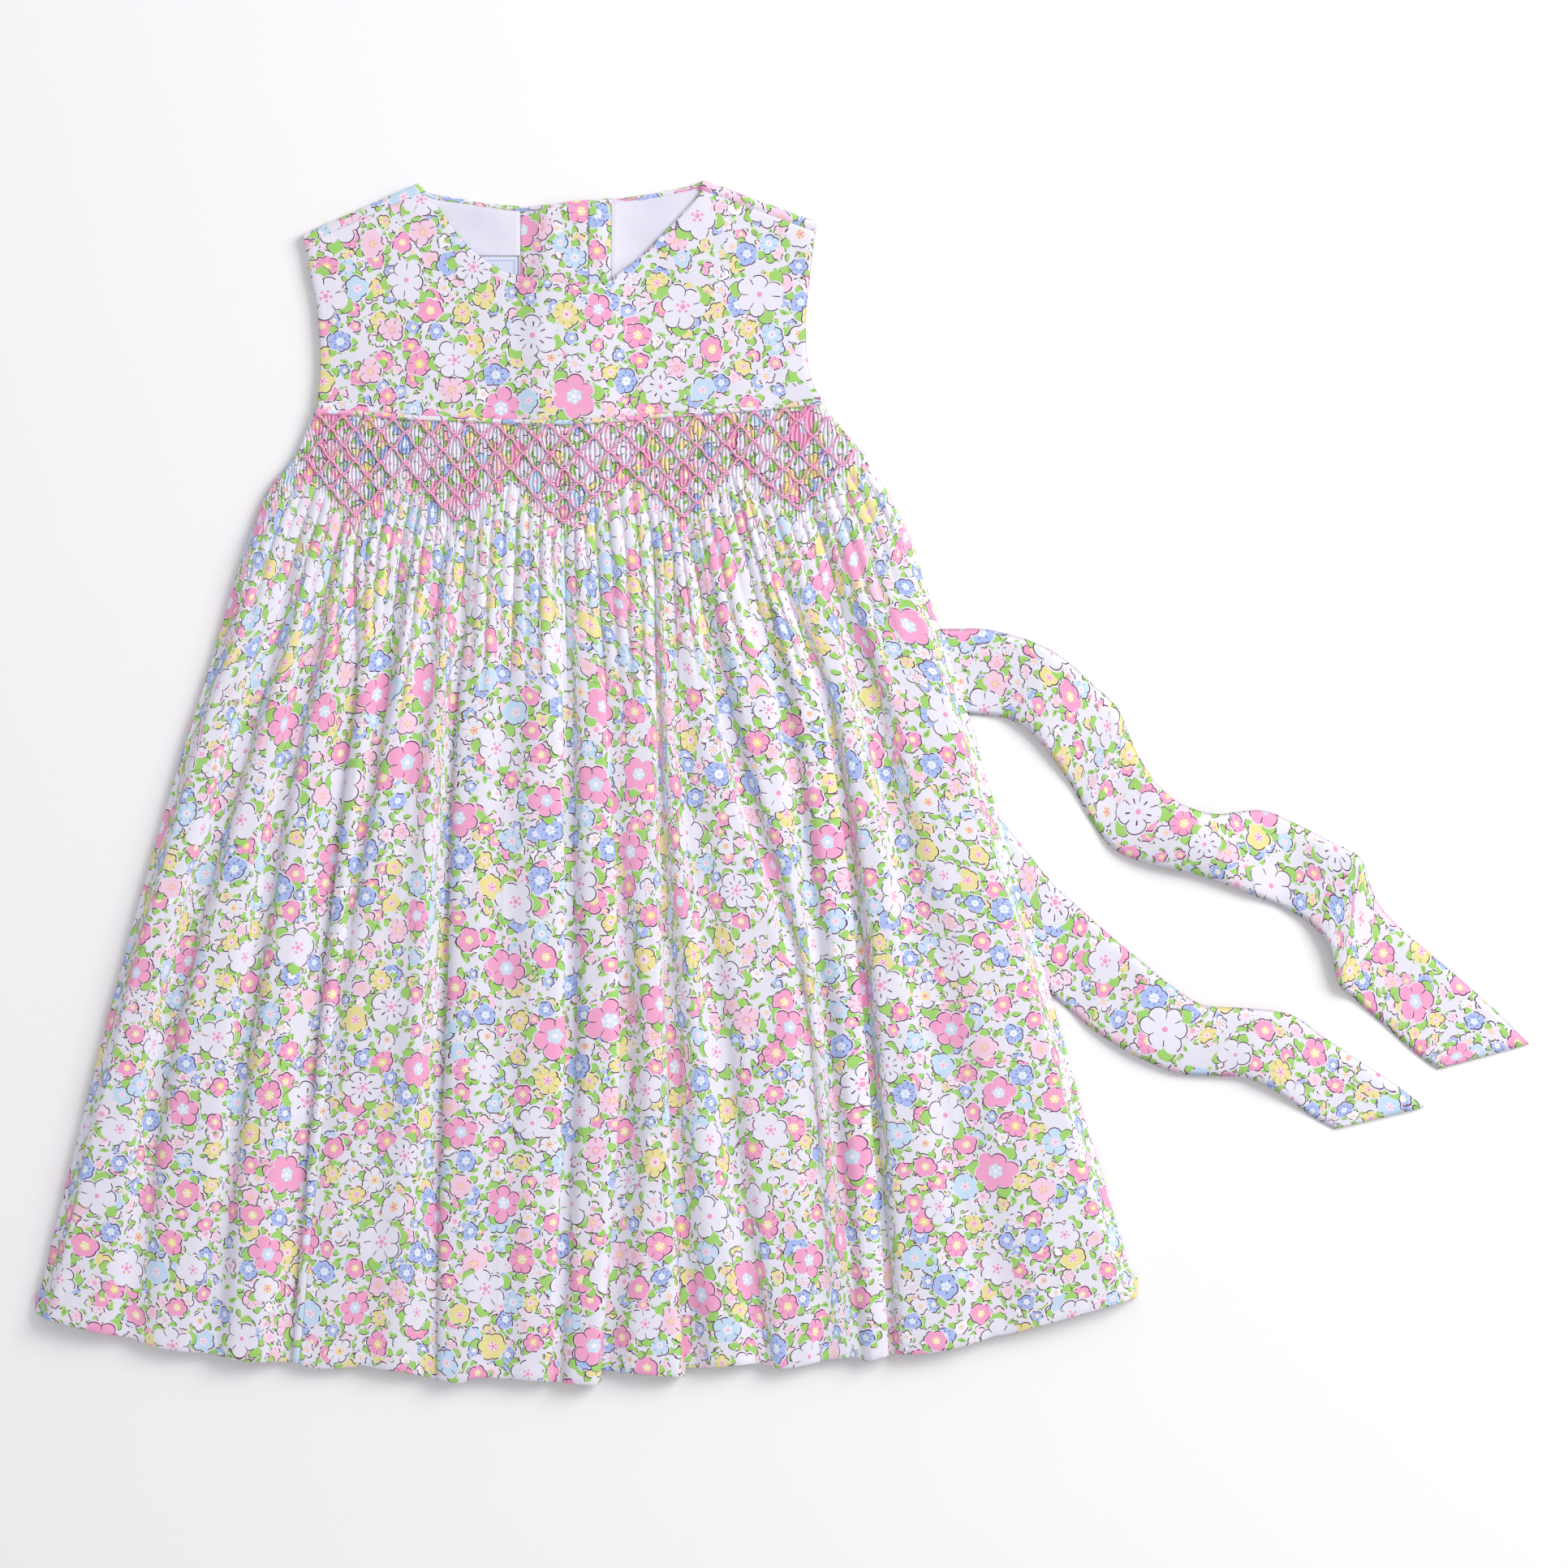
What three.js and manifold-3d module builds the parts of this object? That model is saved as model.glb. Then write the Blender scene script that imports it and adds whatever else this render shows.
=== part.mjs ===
// A child's sleeveless smocked dress laid flat, face up, with both sash ties drawn out to one side.
// Millimetres: +X to the viewer's right, +Y towards the neck, +Z up from the surface it lies on.
import * as THREE from 'three';
import Module from 'manifold-3d';

const wasm = await Module();
wasm.setup();

// Wall thicknesses, and how high each layer lies
const CLOTH = 1.2;
const BACK_CLOTH = 1.0;
const LABEL_CLOTH = 0.5;
const SEAM_GAP = 0.3;
const STEEP_WALL = 1.4;
const SKIRT_BACK_THICK = 2.7;
const TIE_GROOVE_DEPTH = 1.5;
const LINING_REST = BACK_CLOTH + SEAM_GAP;
const LABEL_REST = LINING_REST + BACK_CLOTH + SEAM_GAP;
const YOKE_REST = LABEL_REST + LABEL_CLOTH + SEAM_GAP;
const SKIRT_REST = SKIRT_BACK_THICK + SEAM_GAP;

// Yoke
const SHOULDER_LEFT_OUTER = [-236, 270];
const SHOULDER_LEFT_NECK = [-180, 294.8];
const SHOULDER_RIGHT_NECK = [-39.6, 296.4];
const SHOULDER_RIGHT_OUTER = [16, 276];
const SHOULDER_SEAM_SETBACK = 4;
const LINING_INSET = 1.5;
const YOKE_COLUMNS = 26;
const YOKE_ROWS = 6;

// Centre-back placket, whose left half lies over the right one
const LEFT_FACING_FROM = -129.6;
const PLACKET_EDGE = -96.4;
const RIGHT_FACING_TO = -84.8;
const RIGHT_HALF_FROM = -114;
const LEFT_HALF_LIFT = 3.2;
const BUTTON_LIFT = 1.9;
const PLACKET_BULGE = 2.9;
const BULGE_FADE = 26;

// Back buttons
const BUTTON_RADIUS = 5.5;
const BUTTON_THICK = 1.6;
const BUTTON_RIM = 1.1;
const BUTTON_DISH = 0.4;
const BUTTON_X = -105;
const BUTTON_Y = [270, 234, 198];

// Label beside the placket
const LABEL_FROM = [-164, 234];
const LABEL_TO = [-130.2, 260.4];

// Covered piping in the waist seam
const PIPING_RADIUS = 1.3;
const PIPING_STEPS = 40;
const PIPING_SIDES = 8;

// Skirt: the drop from seam to hem at its middle, and the share of it where each fold is measured
const SKIRT_DROP = 470;
const FOLD_ROWS = [0.13, 0.33, 0.62, 1];
const SKIRT_BACK_INSET = 2;

// Smocked band: its pleats, the diamonds that pinch them, and its rows by depth below the seam
const PLEATS = 160;
const PLEATS_PER_DIAMOND = 8;
const PINCH = 0.85;
const DIAMOND_HALF_DEEP = 6.8;

// Edges as tables with a row for each turn of the outline
// Waist seam: x, y
const WAIST_SEAM = [[-230, 183.2], [-160, 179.2], [-110, 177.6], [-63, 180.8], [-12, 184.8], [18, 187.6]];

// Front neckline: x, y
const NECKLINE = [
  [-180, 294.8], [-172.4, 286.8], [-162, 271.6], [-153, 262], [-146, 256.8], [-138, 252.4], [-129.6, 250],
  [-108, 246.4], [-97.6, 246], [-86.8, 246.6], [-81.6, 250.4], [-70.8, 258.8], [-60, 269.6], [-49.2, 281.2],
  [-39.6, 296.4],
];

// Back neck edge: x, y
const BACK_NECK = [
  [-180, 294.8], [-174, 290.8], [-156, 287.6], [-144, 285.6], [-126, 284.4], [-102, 286.8], [-72, 289.6],
  [-48, 294], [-39.6, 296.4],
];

// Armholes: y, x
const LEFT_ARMHOLE = [[186, -229.6], [208, -228], [232, -229.2], [252, -233.2], [270, -236]];
const RIGHT_ARMHOLE = [[189, 18.6], [196, 14.8], [206, 12], [226, 10.8], [256, 13.6], [276, 16]];

// Side edges of the skirt: y, x
const LEFT_SIDE = [
  [-262, -368.6], [-174, -347.2], [-102, -328.8], [-30, -308.8], [18, -294.8], [66, -279.6], [102, -269.2],
  [126, -261.2], [145, -253], [162, -240], [182, -231.2], [184, -230],
];
const RIGHT_SIDE = [
  [-254, 174.4], [-206, 160.4], [-158, 146], [-110, 132.8], [-10, 103.6], [30, 91.6], [86, 73.2],
  [116, 63.6], [136, 54.8], [156, 43.6], [176, 27.6], [188, 18],
];

// Hem line between the crests: x, y
const HEM = [
  [-368.6, -261], [-318, -273.5], [-254, -284], [-174, -288.5], [-92, -290.4], [-22, -286], [50, -281],
  [102.8, -272], [138, -262.4], [174.4, -253],
];

// Folds, one row for each valley: its x at the four fold rows, how deep it is there as a share of the
// ridge on its right, how far that ridge drops below the hem line, and its skew where it rolls to the right
const FOLDS = [
  { name: 'side', x: [-239, -264, -299, -320], deep: [0.6, 0.9, 0.9, 0.4], drop: 2 },
  { name: 'outer', x: [-220, -240, -262, -281], deep: [0.7, 0.8, 0.8, 0.4], drop: 1 },
  { name: 'left main', x: [-211, -212, -227, -242], deep: [0.5, 0.8, 1, 1], drop: 0 },
  { name: 'left branch', x: [-188, -200, -220, -238], deep: [0.7, 0.9, 0.4, 0], drop: 2 },
  { name: 'short', x: [-167, -180, -194, -210], deep: [0.7, 0.5, 0.1, 0], drop: 1 },
  { name: 'left middle', x: [-157, -162, -166, -171], deep: [0.8, 0.8, 0.8, 0.6], drop: 6 },
  { name: 'faint middle', x: [-132, -136, -138, -140], deep: [0.6, 0.5, 0.3, 0.2], drop: 2 },
  { name: 'middle', x: [-108, -106, -105, -112], deep: [0.8, 0.9, 0.9, 0.8], drop: 6, skew: 1.5 },
  { name: 'roll left', x: [-92, -86, -80, -89.6], deep: [0.5, 0.4, 0.9, 0.9], drop: 4, skew: 1.5 },
  { name: 'roll right', x: [-64, -62, -58, -48], deep: [0.6, 0.6, 0.8, 0.9], drop: 0 },
  { name: 'late', x: [-55, -50, -32, -10], deep: [0.1, 0.2, 0.6, 0.7], drop: 3 },
  { name: 'long slant', x: [-46, -27, 10, 22], deep: [0.8, 0.9, 0.4, 0.1], drop: 0 },
  { name: 'right branch', x: [-21, 2, 19, 37], deep: [0.4, 0.7, 0.4, 0.1], drop: 2 },
  { name: 'right main', x: [-7, 22, 39, 52], deep: [0.6, 0.9, 1, 1], drop: 2 },
  { name: 'right outer', x: [18, 44, 72, 105], deep: [0.7, 0.8, 0.4, 0.4], drop: 1 },
];
const RIDGE_HEIGHT = [[0.05, 0], [0.13, 2.6], [0.33, 5.4], [0.62, 7], [1, 6.2]];
const RIDGE_PER_WIDTH = 0.42;
const RIDGE_SKEW = 0.65;
const FLAT_SIDE_SHARE = 0.45;

// Short gathers under the smocking, two in each wide space between folds
const GATHER_HEIGHT = 1.5;
const GATHER_END = 0.3;
const GATHER_SPACE = 20;

// Ties, one row for each section from the side seam to the end: upper edge x, y, lower edge x, y,
// then how far its middle is lifted, and how far it arches between its edges
const RIGHT_TIE_HIDDEN = [
  [47, 148, 25, 176, 0, 0],
  [34.4, 135.6, 5.6, 160.4, 0, 0],
  [19.5, 114.6, -15.5, 129.4, 0, 0],
  [16.8, 99, -20.8, 93, 0, 0],
  [23.1, 85.8, -3.1, 58.2, 0, 0],
  [41.3, 78.2, 30.7, 41.8, 0, 0],
  [63.6, 76, 60.4, 38, 0, 0],
  [94, 76.4, 90.8, 34, 0, 0],
];
const RIGHT_TIE_SHOWN = [
  [114, 72.8, 106.8, 32.8, 1.5, 0],
  [134, 64.4, 121.2, 26, 4, 1],
  [152, 49.2, 132.8, 12.4, 3, 1],
  [165.2, 36.8, 142.8, -2, 1, 0],
  [174, 16.4, 152, -18.8, 0, 0],
  [184, 0.4, 164, -33.2, 2, 1],
  [196, -10, 184, -40.8, 4, 3],
  [214, -15.2, 206, -45.6, 4, 5],
  [234, -13.2, 228, -54, 3, 1],
  [254, -20.4, 244, -60.4, 1, 0],
  [270, -28.8, 258.8, -68.4, 3, 0],
  [284, -36.4, 268.8, -80, 6, 0],
  [292, -57.2, 274, -99.6, 5, 1],
  [304, -70.8, 282.8, -107.2, 1, 0],
  [318, -82.8, 297.2, -120, 0, 0],
  [334, -96.4, 312, -133.2, 0, 0],
  [351.2, -111.6, 320, -139.2, 0, 0],
  [368.4, -128.8, 323.2, -141.2, 0, 0],
];
const LEFT_TIE_HIDDEN = [
  [-237.5, 164, -257, 132, 0, 0],
  [-65, 73, -86, 39, 0, 0],
  [106.8, -18, 85.2, -54, 0, 0],
  [118.8, -32, 96, -70, 0, 0],
  [134, -50.4, 114, -90, 0, 0],
  [148, -63, 128, -101, 0, 0],
];
const LEFT_TIE_SHOWN = [
  [160, -74, 140, -111, 0, 0],
  [174, -85.6, 154, -122.4, 2, 0],
  [194, -101.6, 176, -135.6, 3, 1],
  [210, -110, 200, -144, 2, 2],
  [228, -110.8, 224, -144.8, 3, 2],
  [248, -113.2, 238, -149.2, 4, 1],
  [266, -124.8, 250, -156.8, 2, 1],
  [286, -138, 264, -166.4, 0, 0],
  [302, -148.4, 270, -169.6, 0, 0],
  [316.8, -160, 272, -170.8, 0, 0],
];
const TIE_COLUMNS = [0, 0.3, 0.7, 1];
const GROOVE_CLEARANCE = 0.4;

// Materials
const FLORAL = new THREE.MeshStandardMaterial({ color: 0xf1e9f2, roughness: 0.85, metalness: 0 });
const LINING = new THREE.MeshStandardMaterial({ color: 0xe6e5f2, roughness: 0.9, metalness: 0 });
const LABEL = new THREE.MeshStandardMaterial({ color: 0xd7e4f6, roughness: 0.7, metalness: 0 });
const BUTTON = new THREE.MeshStandardMaterial({ color: 0xf6f3ee, roughness: 0.3, metalness: 0 });

const lerp = THREE.MathUtils.lerp;
const clamp = THREE.MathUtils.clamp;
const smooth = THREE.MathUtils.smoothstep;

// A smooth function through rows of [at, value], with no overshoot at its turns
function through(rows) {
  const last = rows.length - 1;
  const steep = rows.slice(1).map((row, i) => (row[1] - rows[i][1]) / (row[0] - rows[i][0]));
  const slopes = rows.map((row, i) => {
    if (i === 0) return steep[0];
    if (i === last) return steep[last - 1];
    if (steep[i - 1] * steep[i] <= 0) return 0;
    return (2 * steep[i - 1] * steep[i]) / (steep[i - 1] + steep[i]);
  });
  return (at) => {
    const x = clamp(at, rows[0][0], rows[last][0]);
    let i = 0;
    while (i < last - 1 && x > rows[i + 1][0]) i += 1;
    const wide = rows[i + 1][0] - rows[i][0];
    const t = (x - rows[i][0]) / wide;
    const ease = t * t * (3 - 2 * t);
    return lerp(rows[i][1], rows[i + 1][1], ease)
      + wide * t * (1 - t) * ((1 - t) * slopes[i] - t * slopes[i + 1]);
  };
}

const seamY = through(WAIST_SEAM);
const necklineY = through(NECKLINE);
const backNeckY = through(BACK_NECK);
const leftArmholeX = through(LEFT_ARMHOLE);
const rightArmholeX = through(RIGHT_ARMHOLE);
const leftSideX = through(LEFT_SIDE);
const rightSideX = through(RIGHT_SIDE);
const hemY = through(HEM);

// Evenly spaced shares from 0 to 1
const shares = (count) => Array.from({ length: count + 1 }, (_, i) => i / count);

// Joins two rows of points, which may differ in number, by a strip of triangles
function strip(faces, above, below) {
  let i = 0;
  let j = 0;
  while (i < above.length - 1 || j < below.length - 1) {
    const takeAbove = j === below.length - 1
      || (i < above.length - 1 && above[i + 1].at <= below[j + 1].at);
    if (takeAbove) {
      faces.push(above[i].index, below[j].index, above[i + 1].index);
      i += 1;
    } else {
      faces.push(above[i].index, below[j].index, below[j + 1].index);
      j += 1;
    }
  }
}

// A closed cloth wall between outer and inner rows of points. A row is { v, points: [{ u, x, y, z }] }.
function wall(name, outer, inner, material) {
  const positions = [];
  const number = (rows) => rows.map((row) => row.points.map((p) => {
    positions.push(p.x, p.y, p.z);
    return { index: positions.length / 3 - 1, at: p.u };
  }));
  const top = number(outer);
  const under = number(inner);
  const side = (rows, source, pick) => rows.map((row, k) => (
    { index: row[pick(row)].index, at: source[k].v }));
  const first = () => 0;
  const last = (row) => row.length - 1;
  const faces = [];
  for (let k = 0; k < top.length - 1; k += 1) strip(faces, top[k], top[k + 1]);
  for (let k = 0; k < under.length - 1; k += 1) strip(faces, under[k + 1], under[k]);
  strip(faces, under[0], top[0]);
  strip(faces, top[top.length - 1], under[under.length - 1]);
  strip(faces, side(top, outer, first), side(under, inner, first));
  strip(faces, side(under, inner, last), side(top, outer, last));
  const geometry = new THREE.BufferGeometry();
  geometry.setAttribute('position', new THREE.Float32BufferAttribute(positions, 3));
  geometry.setIndex(faces);
  return named(name, geometry, material);
}

function named(name, geometry, material) {
  geometry.computeVertexNormals();
  const mesh = new THREE.Mesh(geometry, material);
  mesh.name = name;
  return mesh;
}

// A panel between four edges: left and right give x and y along v, top and bottom give them along u
function panelPoint(edges, u, v) {
  const mix = (axis) => {
    const rule = lerp(edges.left(v)[axis], edges.right(v)[axis], u)
      + lerp(edges.top(u)[axis], edges.bottom(u)[axis], v);
    const corners = lerp(
      lerp(edges.top(0)[axis], edges.top(1)[axis], u),
      lerp(edges.bottom(0)[axis], edges.bottom(1)[axis], u),
      v,
    );
    return rule - corners;
  };
  return [mix(0), mix(1)];
}

// A cloth panel of even thickness that rests at the height rest(x, y)
function panel(name, edges, us, vs, rest, thick, material) {
  const rows = (rise) => vs.map((v) => ({
    v,
    points: us.map((u) => {
      const [x, y] = panelPoint(edges, u, v);
      return { u, x, y, z: rest(x, y) + rise };
    }),
  }));
  return wall(name, rows(thick), rows(0), material);
}

// How the placket lifts the back halves, and the front that lies over them
const leftHalfLift = (x) => LEFT_HALF_LIFT * smooth(x, LEFT_FACING_FROM, RIGHT_HALF_FROM - 1);
const rightHalfLift = (x) => BUTTON_LIFT * (1 - smooth(x, PLACKET_EDGE + 3, RIGHT_FACING_TO + 5));
const frontBulge = (x) => PLACKET_BULGE
  * smooth(x, LEFT_FACING_FROM - 5, RIGHT_HALF_FROM - 4)
  * (1 - smooth(x, PLACKET_EDGE + 3, RIGHT_FACING_TO + 14));

// The line of a shoulder from its outer end to the neck
function shoulderY(x, outer, neck) {
  return lerp(outer[1], neck[1], (x - outer[0]) / (neck[0] - outer[0]));
}

function backTopY(x) {
  if (x < SHOULDER_LEFT_NECK[0]) return shoulderY(x, SHOULDER_LEFT_OUTER, SHOULDER_LEFT_NECK);
  if (x > SHOULDER_RIGHT_NECK[0]) return shoulderY(x, SHOULDER_RIGHT_OUTER, SHOULDER_RIGHT_NECK);
  return backNeckY(x);
}

function frontTopY(x) {
  if (x < SHOULDER_LEFT_NECK[0]) return backTopY(x) - SHOULDER_SEAM_SETBACK;
  if (x > SHOULDER_RIGHT_NECK[0]) return backTopY(x) - SHOULDER_SEAM_SETBACK;
  return necklineY(x) - SHOULDER_SEAM_SETBACK * (1 - smooth(Math.min(x - SHOULDER_LEFT_NECK[0],
    SHOULDER_RIGHT_NECK[0] - x), 0, 12));
}

const seamSetback = PIPING_RADIUS + SEAM_GAP;

function yokeFront() {
  const wide = SHOULDER_RIGHT_OUTER[0] - SHOULDER_LEFT_OUTER[0];
  const shareOf = (x) => (x - SHOULDER_LEFT_OUTER[0]) / wide;
  const bottomLeft = [leftArmholeX(186), seamY(-230) + seamSetback];
  const bottomRight = [rightArmholeX(189), seamY(18) + seamSetback];
  const edges = {
    top: (u) => {
      const x = SHOULDER_LEFT_OUTER[0] + wide * u;
      return [x, frontTopY(x)];
    },
    bottom: (u) => {
      const x = lerp(bottomLeft[0], bottomRight[0], u);
      return [x, seamY(x) + seamSetback];
    },
    left: (v) => {
      const y = lerp(frontTopY(SHOULDER_LEFT_OUTER[0]), bottomLeft[1], v);
      return [leftArmholeX(y), y];
    },
    right: (v) => {
      const y = lerp(frontTopY(SHOULDER_RIGHT_OUTER[0]), bottomRight[1], v);
      return [rightArmholeX(y), y];
    },
  };
  const us = [...new Set([...shares(8), ...NECKLINE.map((row) => shareOf(row[0]))])]
    .sort((a, b) => a - b)
    .filter((u, i, all) => i === 0 || u - all[i - 1] > 0.012);
  const rest = (x) => YOKE_REST + frontBulge(x);
  return panel('yoke_front', edges, us, shares(YOKE_ROWS), rest, CLOTH, FLORAL);
}

// A panel of the back between two x, below the neck or shoulder edge and above the waist seam
function backPiece(name, from, to, inset, rest, thick, material, columns) {
  const x = (share) => lerp(from, to, share);
  const armhole = (at, y) => {
    if (at <= SHOULDER_LEFT_OUTER[0]) return leftArmholeX(y) + inset;
    if (at >= SHOULDER_RIGHT_OUTER[0]) return rightArmholeX(y) - inset;
    return at;
  };
  const topAt = (at) => backTopY(at) - inset;
  const seamAt = (at) => seamY(at) + inset + SEAM_GAP / 2;
  const sideEdge = (at) => (v) => {
    const y = lerp(topAt(at), seamAt(at), v);
    return [armhole(at, y), y];
  };
  const edges = {
    left: sideEdge(from),
    right: sideEdge(to),
    top: (u) => {
      const start = armhole(from, topAt(from));
      const end = armhole(to, topAt(to));
      return [lerp(start, end, u), topAt(x(u))];
    },
    bottom: (u) => {
      const start = armhole(from, seamAt(from));
      const end = armhole(to, seamAt(to));
      return [lerp(start, end, u), seamAt(x(u))];
    },
  };
  return panel(name, edges, shares(columns), shares(3), rest, thick, material);
}

function backYoke() {
  const outerLeft = SHOULDER_LEFT_OUTER[0];
  const outerRight = SHOULDER_RIGHT_OUTER[0];
  const edgeGap = SEAM_GAP / 2;
  const lining = (lift) => (x) => LINING_REST + lift(x);
  return [
    backPiece('yoke_back_left', outerLeft, PLACKET_EDGE, 0, leftHalfLift, BACK_CLOTH, FLORAL, YOKE_COLUMNS),
    backPiece('yoke_back_right', RIGHT_HALF_FROM, outerRight, 0, rightHalfLift, BACK_CLOTH, FLORAL,
      YOKE_COLUMNS),
    backPiece('yoke_lining_left', outerLeft, LEFT_FACING_FROM - edgeGap, LINING_INSET,
      lining(leftHalfLift), BACK_CLOTH, LINING, 16),
    backPiece('placket_facing_left', LEFT_FACING_FROM + edgeGap, PLACKET_EDGE, LINING_INSET,
      lining(leftHalfLift), BACK_CLOTH, FLORAL, 8),
    backPiece('placket_facing_right', PLACKET_EDGE + SEAM_GAP, RIGHT_FACING_TO - edgeGap, LINING_INSET,
      lining(rightHalfLift), BACK_CLOTH, FLORAL, 4),
    backPiece('yoke_lining_right', RIGHT_FACING_TO + edgeGap, outerRight, LINING_INSET,
      lining(rightHalfLift), BACK_CLOTH, LINING, 16),
  ];
}

function neckLabel() {
  const wide = LABEL_TO[0] - LABEL_FROM[0];
  const tall = LABEL_TO[1] - LABEL_FROM[1];
  const geometry = new THREE.BoxGeometry(wide, tall, LABEL_CLOTH);
  const mesh = named('neck_label', geometry, LABEL);
  mesh.position.set(
    (LABEL_FROM[0] + LABEL_TO[0]) / 2,
    (LABEL_FROM[1] + LABEL_TO[1]) / 2,
    LABEL_REST + LABEL_CLOTH / 2,
  );
  return mesh;
}

// A flat button with a raised rim, lying on its face
function backButtons() {
  const profile = [
    [0, BUTTON_DISH], [BUTTON_RADIUS - BUTTON_RIM - 0.4, BUTTON_DISH], [BUTTON_RADIUS - BUTTON_RIM, 0],
    [BUTTON_RADIUS - 0.4, 0], [BUTTON_RADIUS, 0.4], [BUTTON_RADIUS, BUTTON_THICK - 0.4],
    [BUTTON_RADIUS - 0.8, BUTTON_THICK], [0, BUTTON_THICK],
  ].map(([r, z]) => new THREE.Vector2(r, z));
  return BUTTON_Y.map((y, i) => {
    const geometry = new THREE.LatheGeometry(profile, 20);
    geometry.rotateX(Math.PI / 2);
    const mesh = named(`back_button_${i + 1}`, geometry, BUTTON);
    mesh.position.set(BUTTON_X, y, 0);
    return mesh;
  });
}

// How far the placket still lifts the front below the waist seam
const bulgeBelowSeam = (x, y) => frontBulge(x) * (1 - smooth(seamY(x) - y, 0, BULGE_FADE));

function yokePiping() {
  const from = WAIST_SEAM[0][0] - 0.4;
  const to = WAIST_SEAM[WAIST_SEAM.length - 1][0] + 0.4;
  const round = shares(PIPING_SIDES).slice(0, -1).map((share) => {
    const angle = 2 * Math.PI * share;
    return [PIPING_RADIUS * Math.cos(angle), PIPING_RADIUS * Math.sin(angle)];
  });
  const positions = [];
  const faces = [];
  const sides = round.length;
  shares(PIPING_STEPS).forEach((share) => {
    const x = lerp(from, to, share);
    const slope = Math.atan2(seamY(x + 1) - seamY(x - 1), 2);
    const z = YOKE_REST + PIPING_RADIUS + bulgeBelowSeam(x, seamY(x));
    round.forEach(([across, up]) => {
      positions.push(x - across * Math.sin(slope), seamY(x) + across * Math.cos(slope), z + up);
    });
  });
  const ring = (k, i) => k * sides + (i % sides);
  for (let k = 0; k < PIPING_STEPS; k += 1) {
    for (let i = 0; i < sides; i += 1) {
      faces.push(ring(k, i), ring(k, i + 1), ring(k + 1, i));
      faces.push(ring(k, i + 1), ring(k + 1, i + 1), ring(k + 1, i));
    }
  }
  for (let i = 1; i < sides - 1; i += 1) {
    faces.push(ring(0, 0), ring(0, i + 1), ring(0, i));
    faces.push(ring(PIPING_STEPS, 0), ring(PIPING_STEPS, i), ring(PIPING_STEPS, i + 1));
  }
  const geometry = new THREE.BufferGeometry();
  geometry.setAttribute('position', new THREE.Float32BufferAttribute(positions, 3));
  geometry.setIndex(faces);
  return named('yoke_piping', geometry, FLORAL);
}

// The skirt's point at a share u of its width and v of its drop, before folds lift it
function skirtPoint(u, v) {
  const fall = (share) => {
    const top = seamY(lerp(WAIST_SEAM[0][0], WAIST_SEAM[WAIST_SEAM.length - 1][0], share)) - seamSetback;
    const hem = hemY(lerp(HEM[0][0], HEM[HEM.length - 1][0], share));
    return top - SKIRT_DROP * v - (top - hem - SKIRT_DROP) * v * v;
  };
  return [lerp(leftSideX(fall(0)), rightSideX(fall(1)), u), fall(u)];
}

// Each fold's share of the width, and its depth, as functions of v
const foldLines = FOLDS.map((fold) => {
  const rows = FOLD_ROWS.map((v, k) => {
    const [left] = skirtPoint(0, v);
    const [right] = skirtPoint(1, v);
    return [v, (fold.x[k] - left) / (right - left)];
  });
  return {
    share: through(rows),
    deep: through(FOLD_ROWS.map((v, k) => [v, fold.deep[k]])),
    drop: fold.drop,
    skew: fold.skew ?? RIDGE_SKEW,
  };
});
const foldEdges = [
  { share: () => 0, deep: () => 1, drop: 1, skew: RIDGE_SKEW },
  ...foldLines,
  { share: () => 1, deep: () => 1, drop: 0, skew: RIDGE_SKEW },
];
const ridgeHeight = through(RIDGE_HEIGHT);
const ridgeShape = (i, t) => Math.sin(Math.PI * t ** foldEdges[i].skew);

// The space between folds i and i + 1, as seen at v
function space(i, v) {
  const from = foldEdges[i].share(v);
  const to = foldEdges[i + 1].share(v);
  const wide = (to - from) * (skirtPoint(1, v)[0] - skirtPoint(0, v)[0]);
  const deep = Math.max(foldEdges[i].deep(v), foldEdges[i + 1].deep(v));
  const crown = Math.min(ridgeHeight(v) * (FLAT_SIDE_SHARE + (1 - FLAT_SIDE_SHARE) * deep),
    RIDGE_PER_WIDTH * wide + 1);
  return { from, to, wide, crown };
}

// The cloth's height above its rest at a share t of space i
function foldHeight(i, t, v) {
  const here = space(i, v);
  const crownLeft = i > 0 ? Math.min(here.crown, space(i - 1, v).crown) : here.crown;
  const crownRight = i < foldEdges.length - 2 ? Math.min(here.crown, space(i + 1, v).crown) : here.crown;
  const floorLeft = crownLeft * (1 - foldEdges[i].deep(v));
  const floorRight = crownRight * (1 - foldEdges[i + 1].deep(v));
  const floor = lerp(floorLeft, floorRight, t);
  return floor + (here.crown - floor) * ridgeShape(i, t);
}

// One row of skirt points, with the stations ts in each space between folds
function skirtRow(v, ts, rise, gathers) {
  const points = [];
  for (let i = 0; i < foldEdges.length - 1; i += 1) {
    const here = space(i, v);
    const stations = i === foldEdges.length - 2 ? [...ts, 1] : ts;
    stations.forEach((t) => {
      const u = lerp(here.from, here.to, t);
      const [x, flatY] = skirtPoint(u, v);
      const y = flatY - foldEdges[i].drop * ridgeShape(i, t) * v ** 6;
      const inGather = gathers && space(i, FOLD_ROWS[0]).wide > GATHER_SPACE;
      const gather = inGather ? GATHER_HEIGHT * (1 - Math.cos(4 * Math.PI * t)) / 2 : 0;
      const lift = foldHeight(i, t, v) + gather * (1 - smooth(v, FOLD_ROWS[0], GATHER_END));
      points.push({ u, x, y, z: SKIRT_REST + rise + lift + bulgeBelowSeam(x, y) });
    });
  }
  return { v, points };
}

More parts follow.
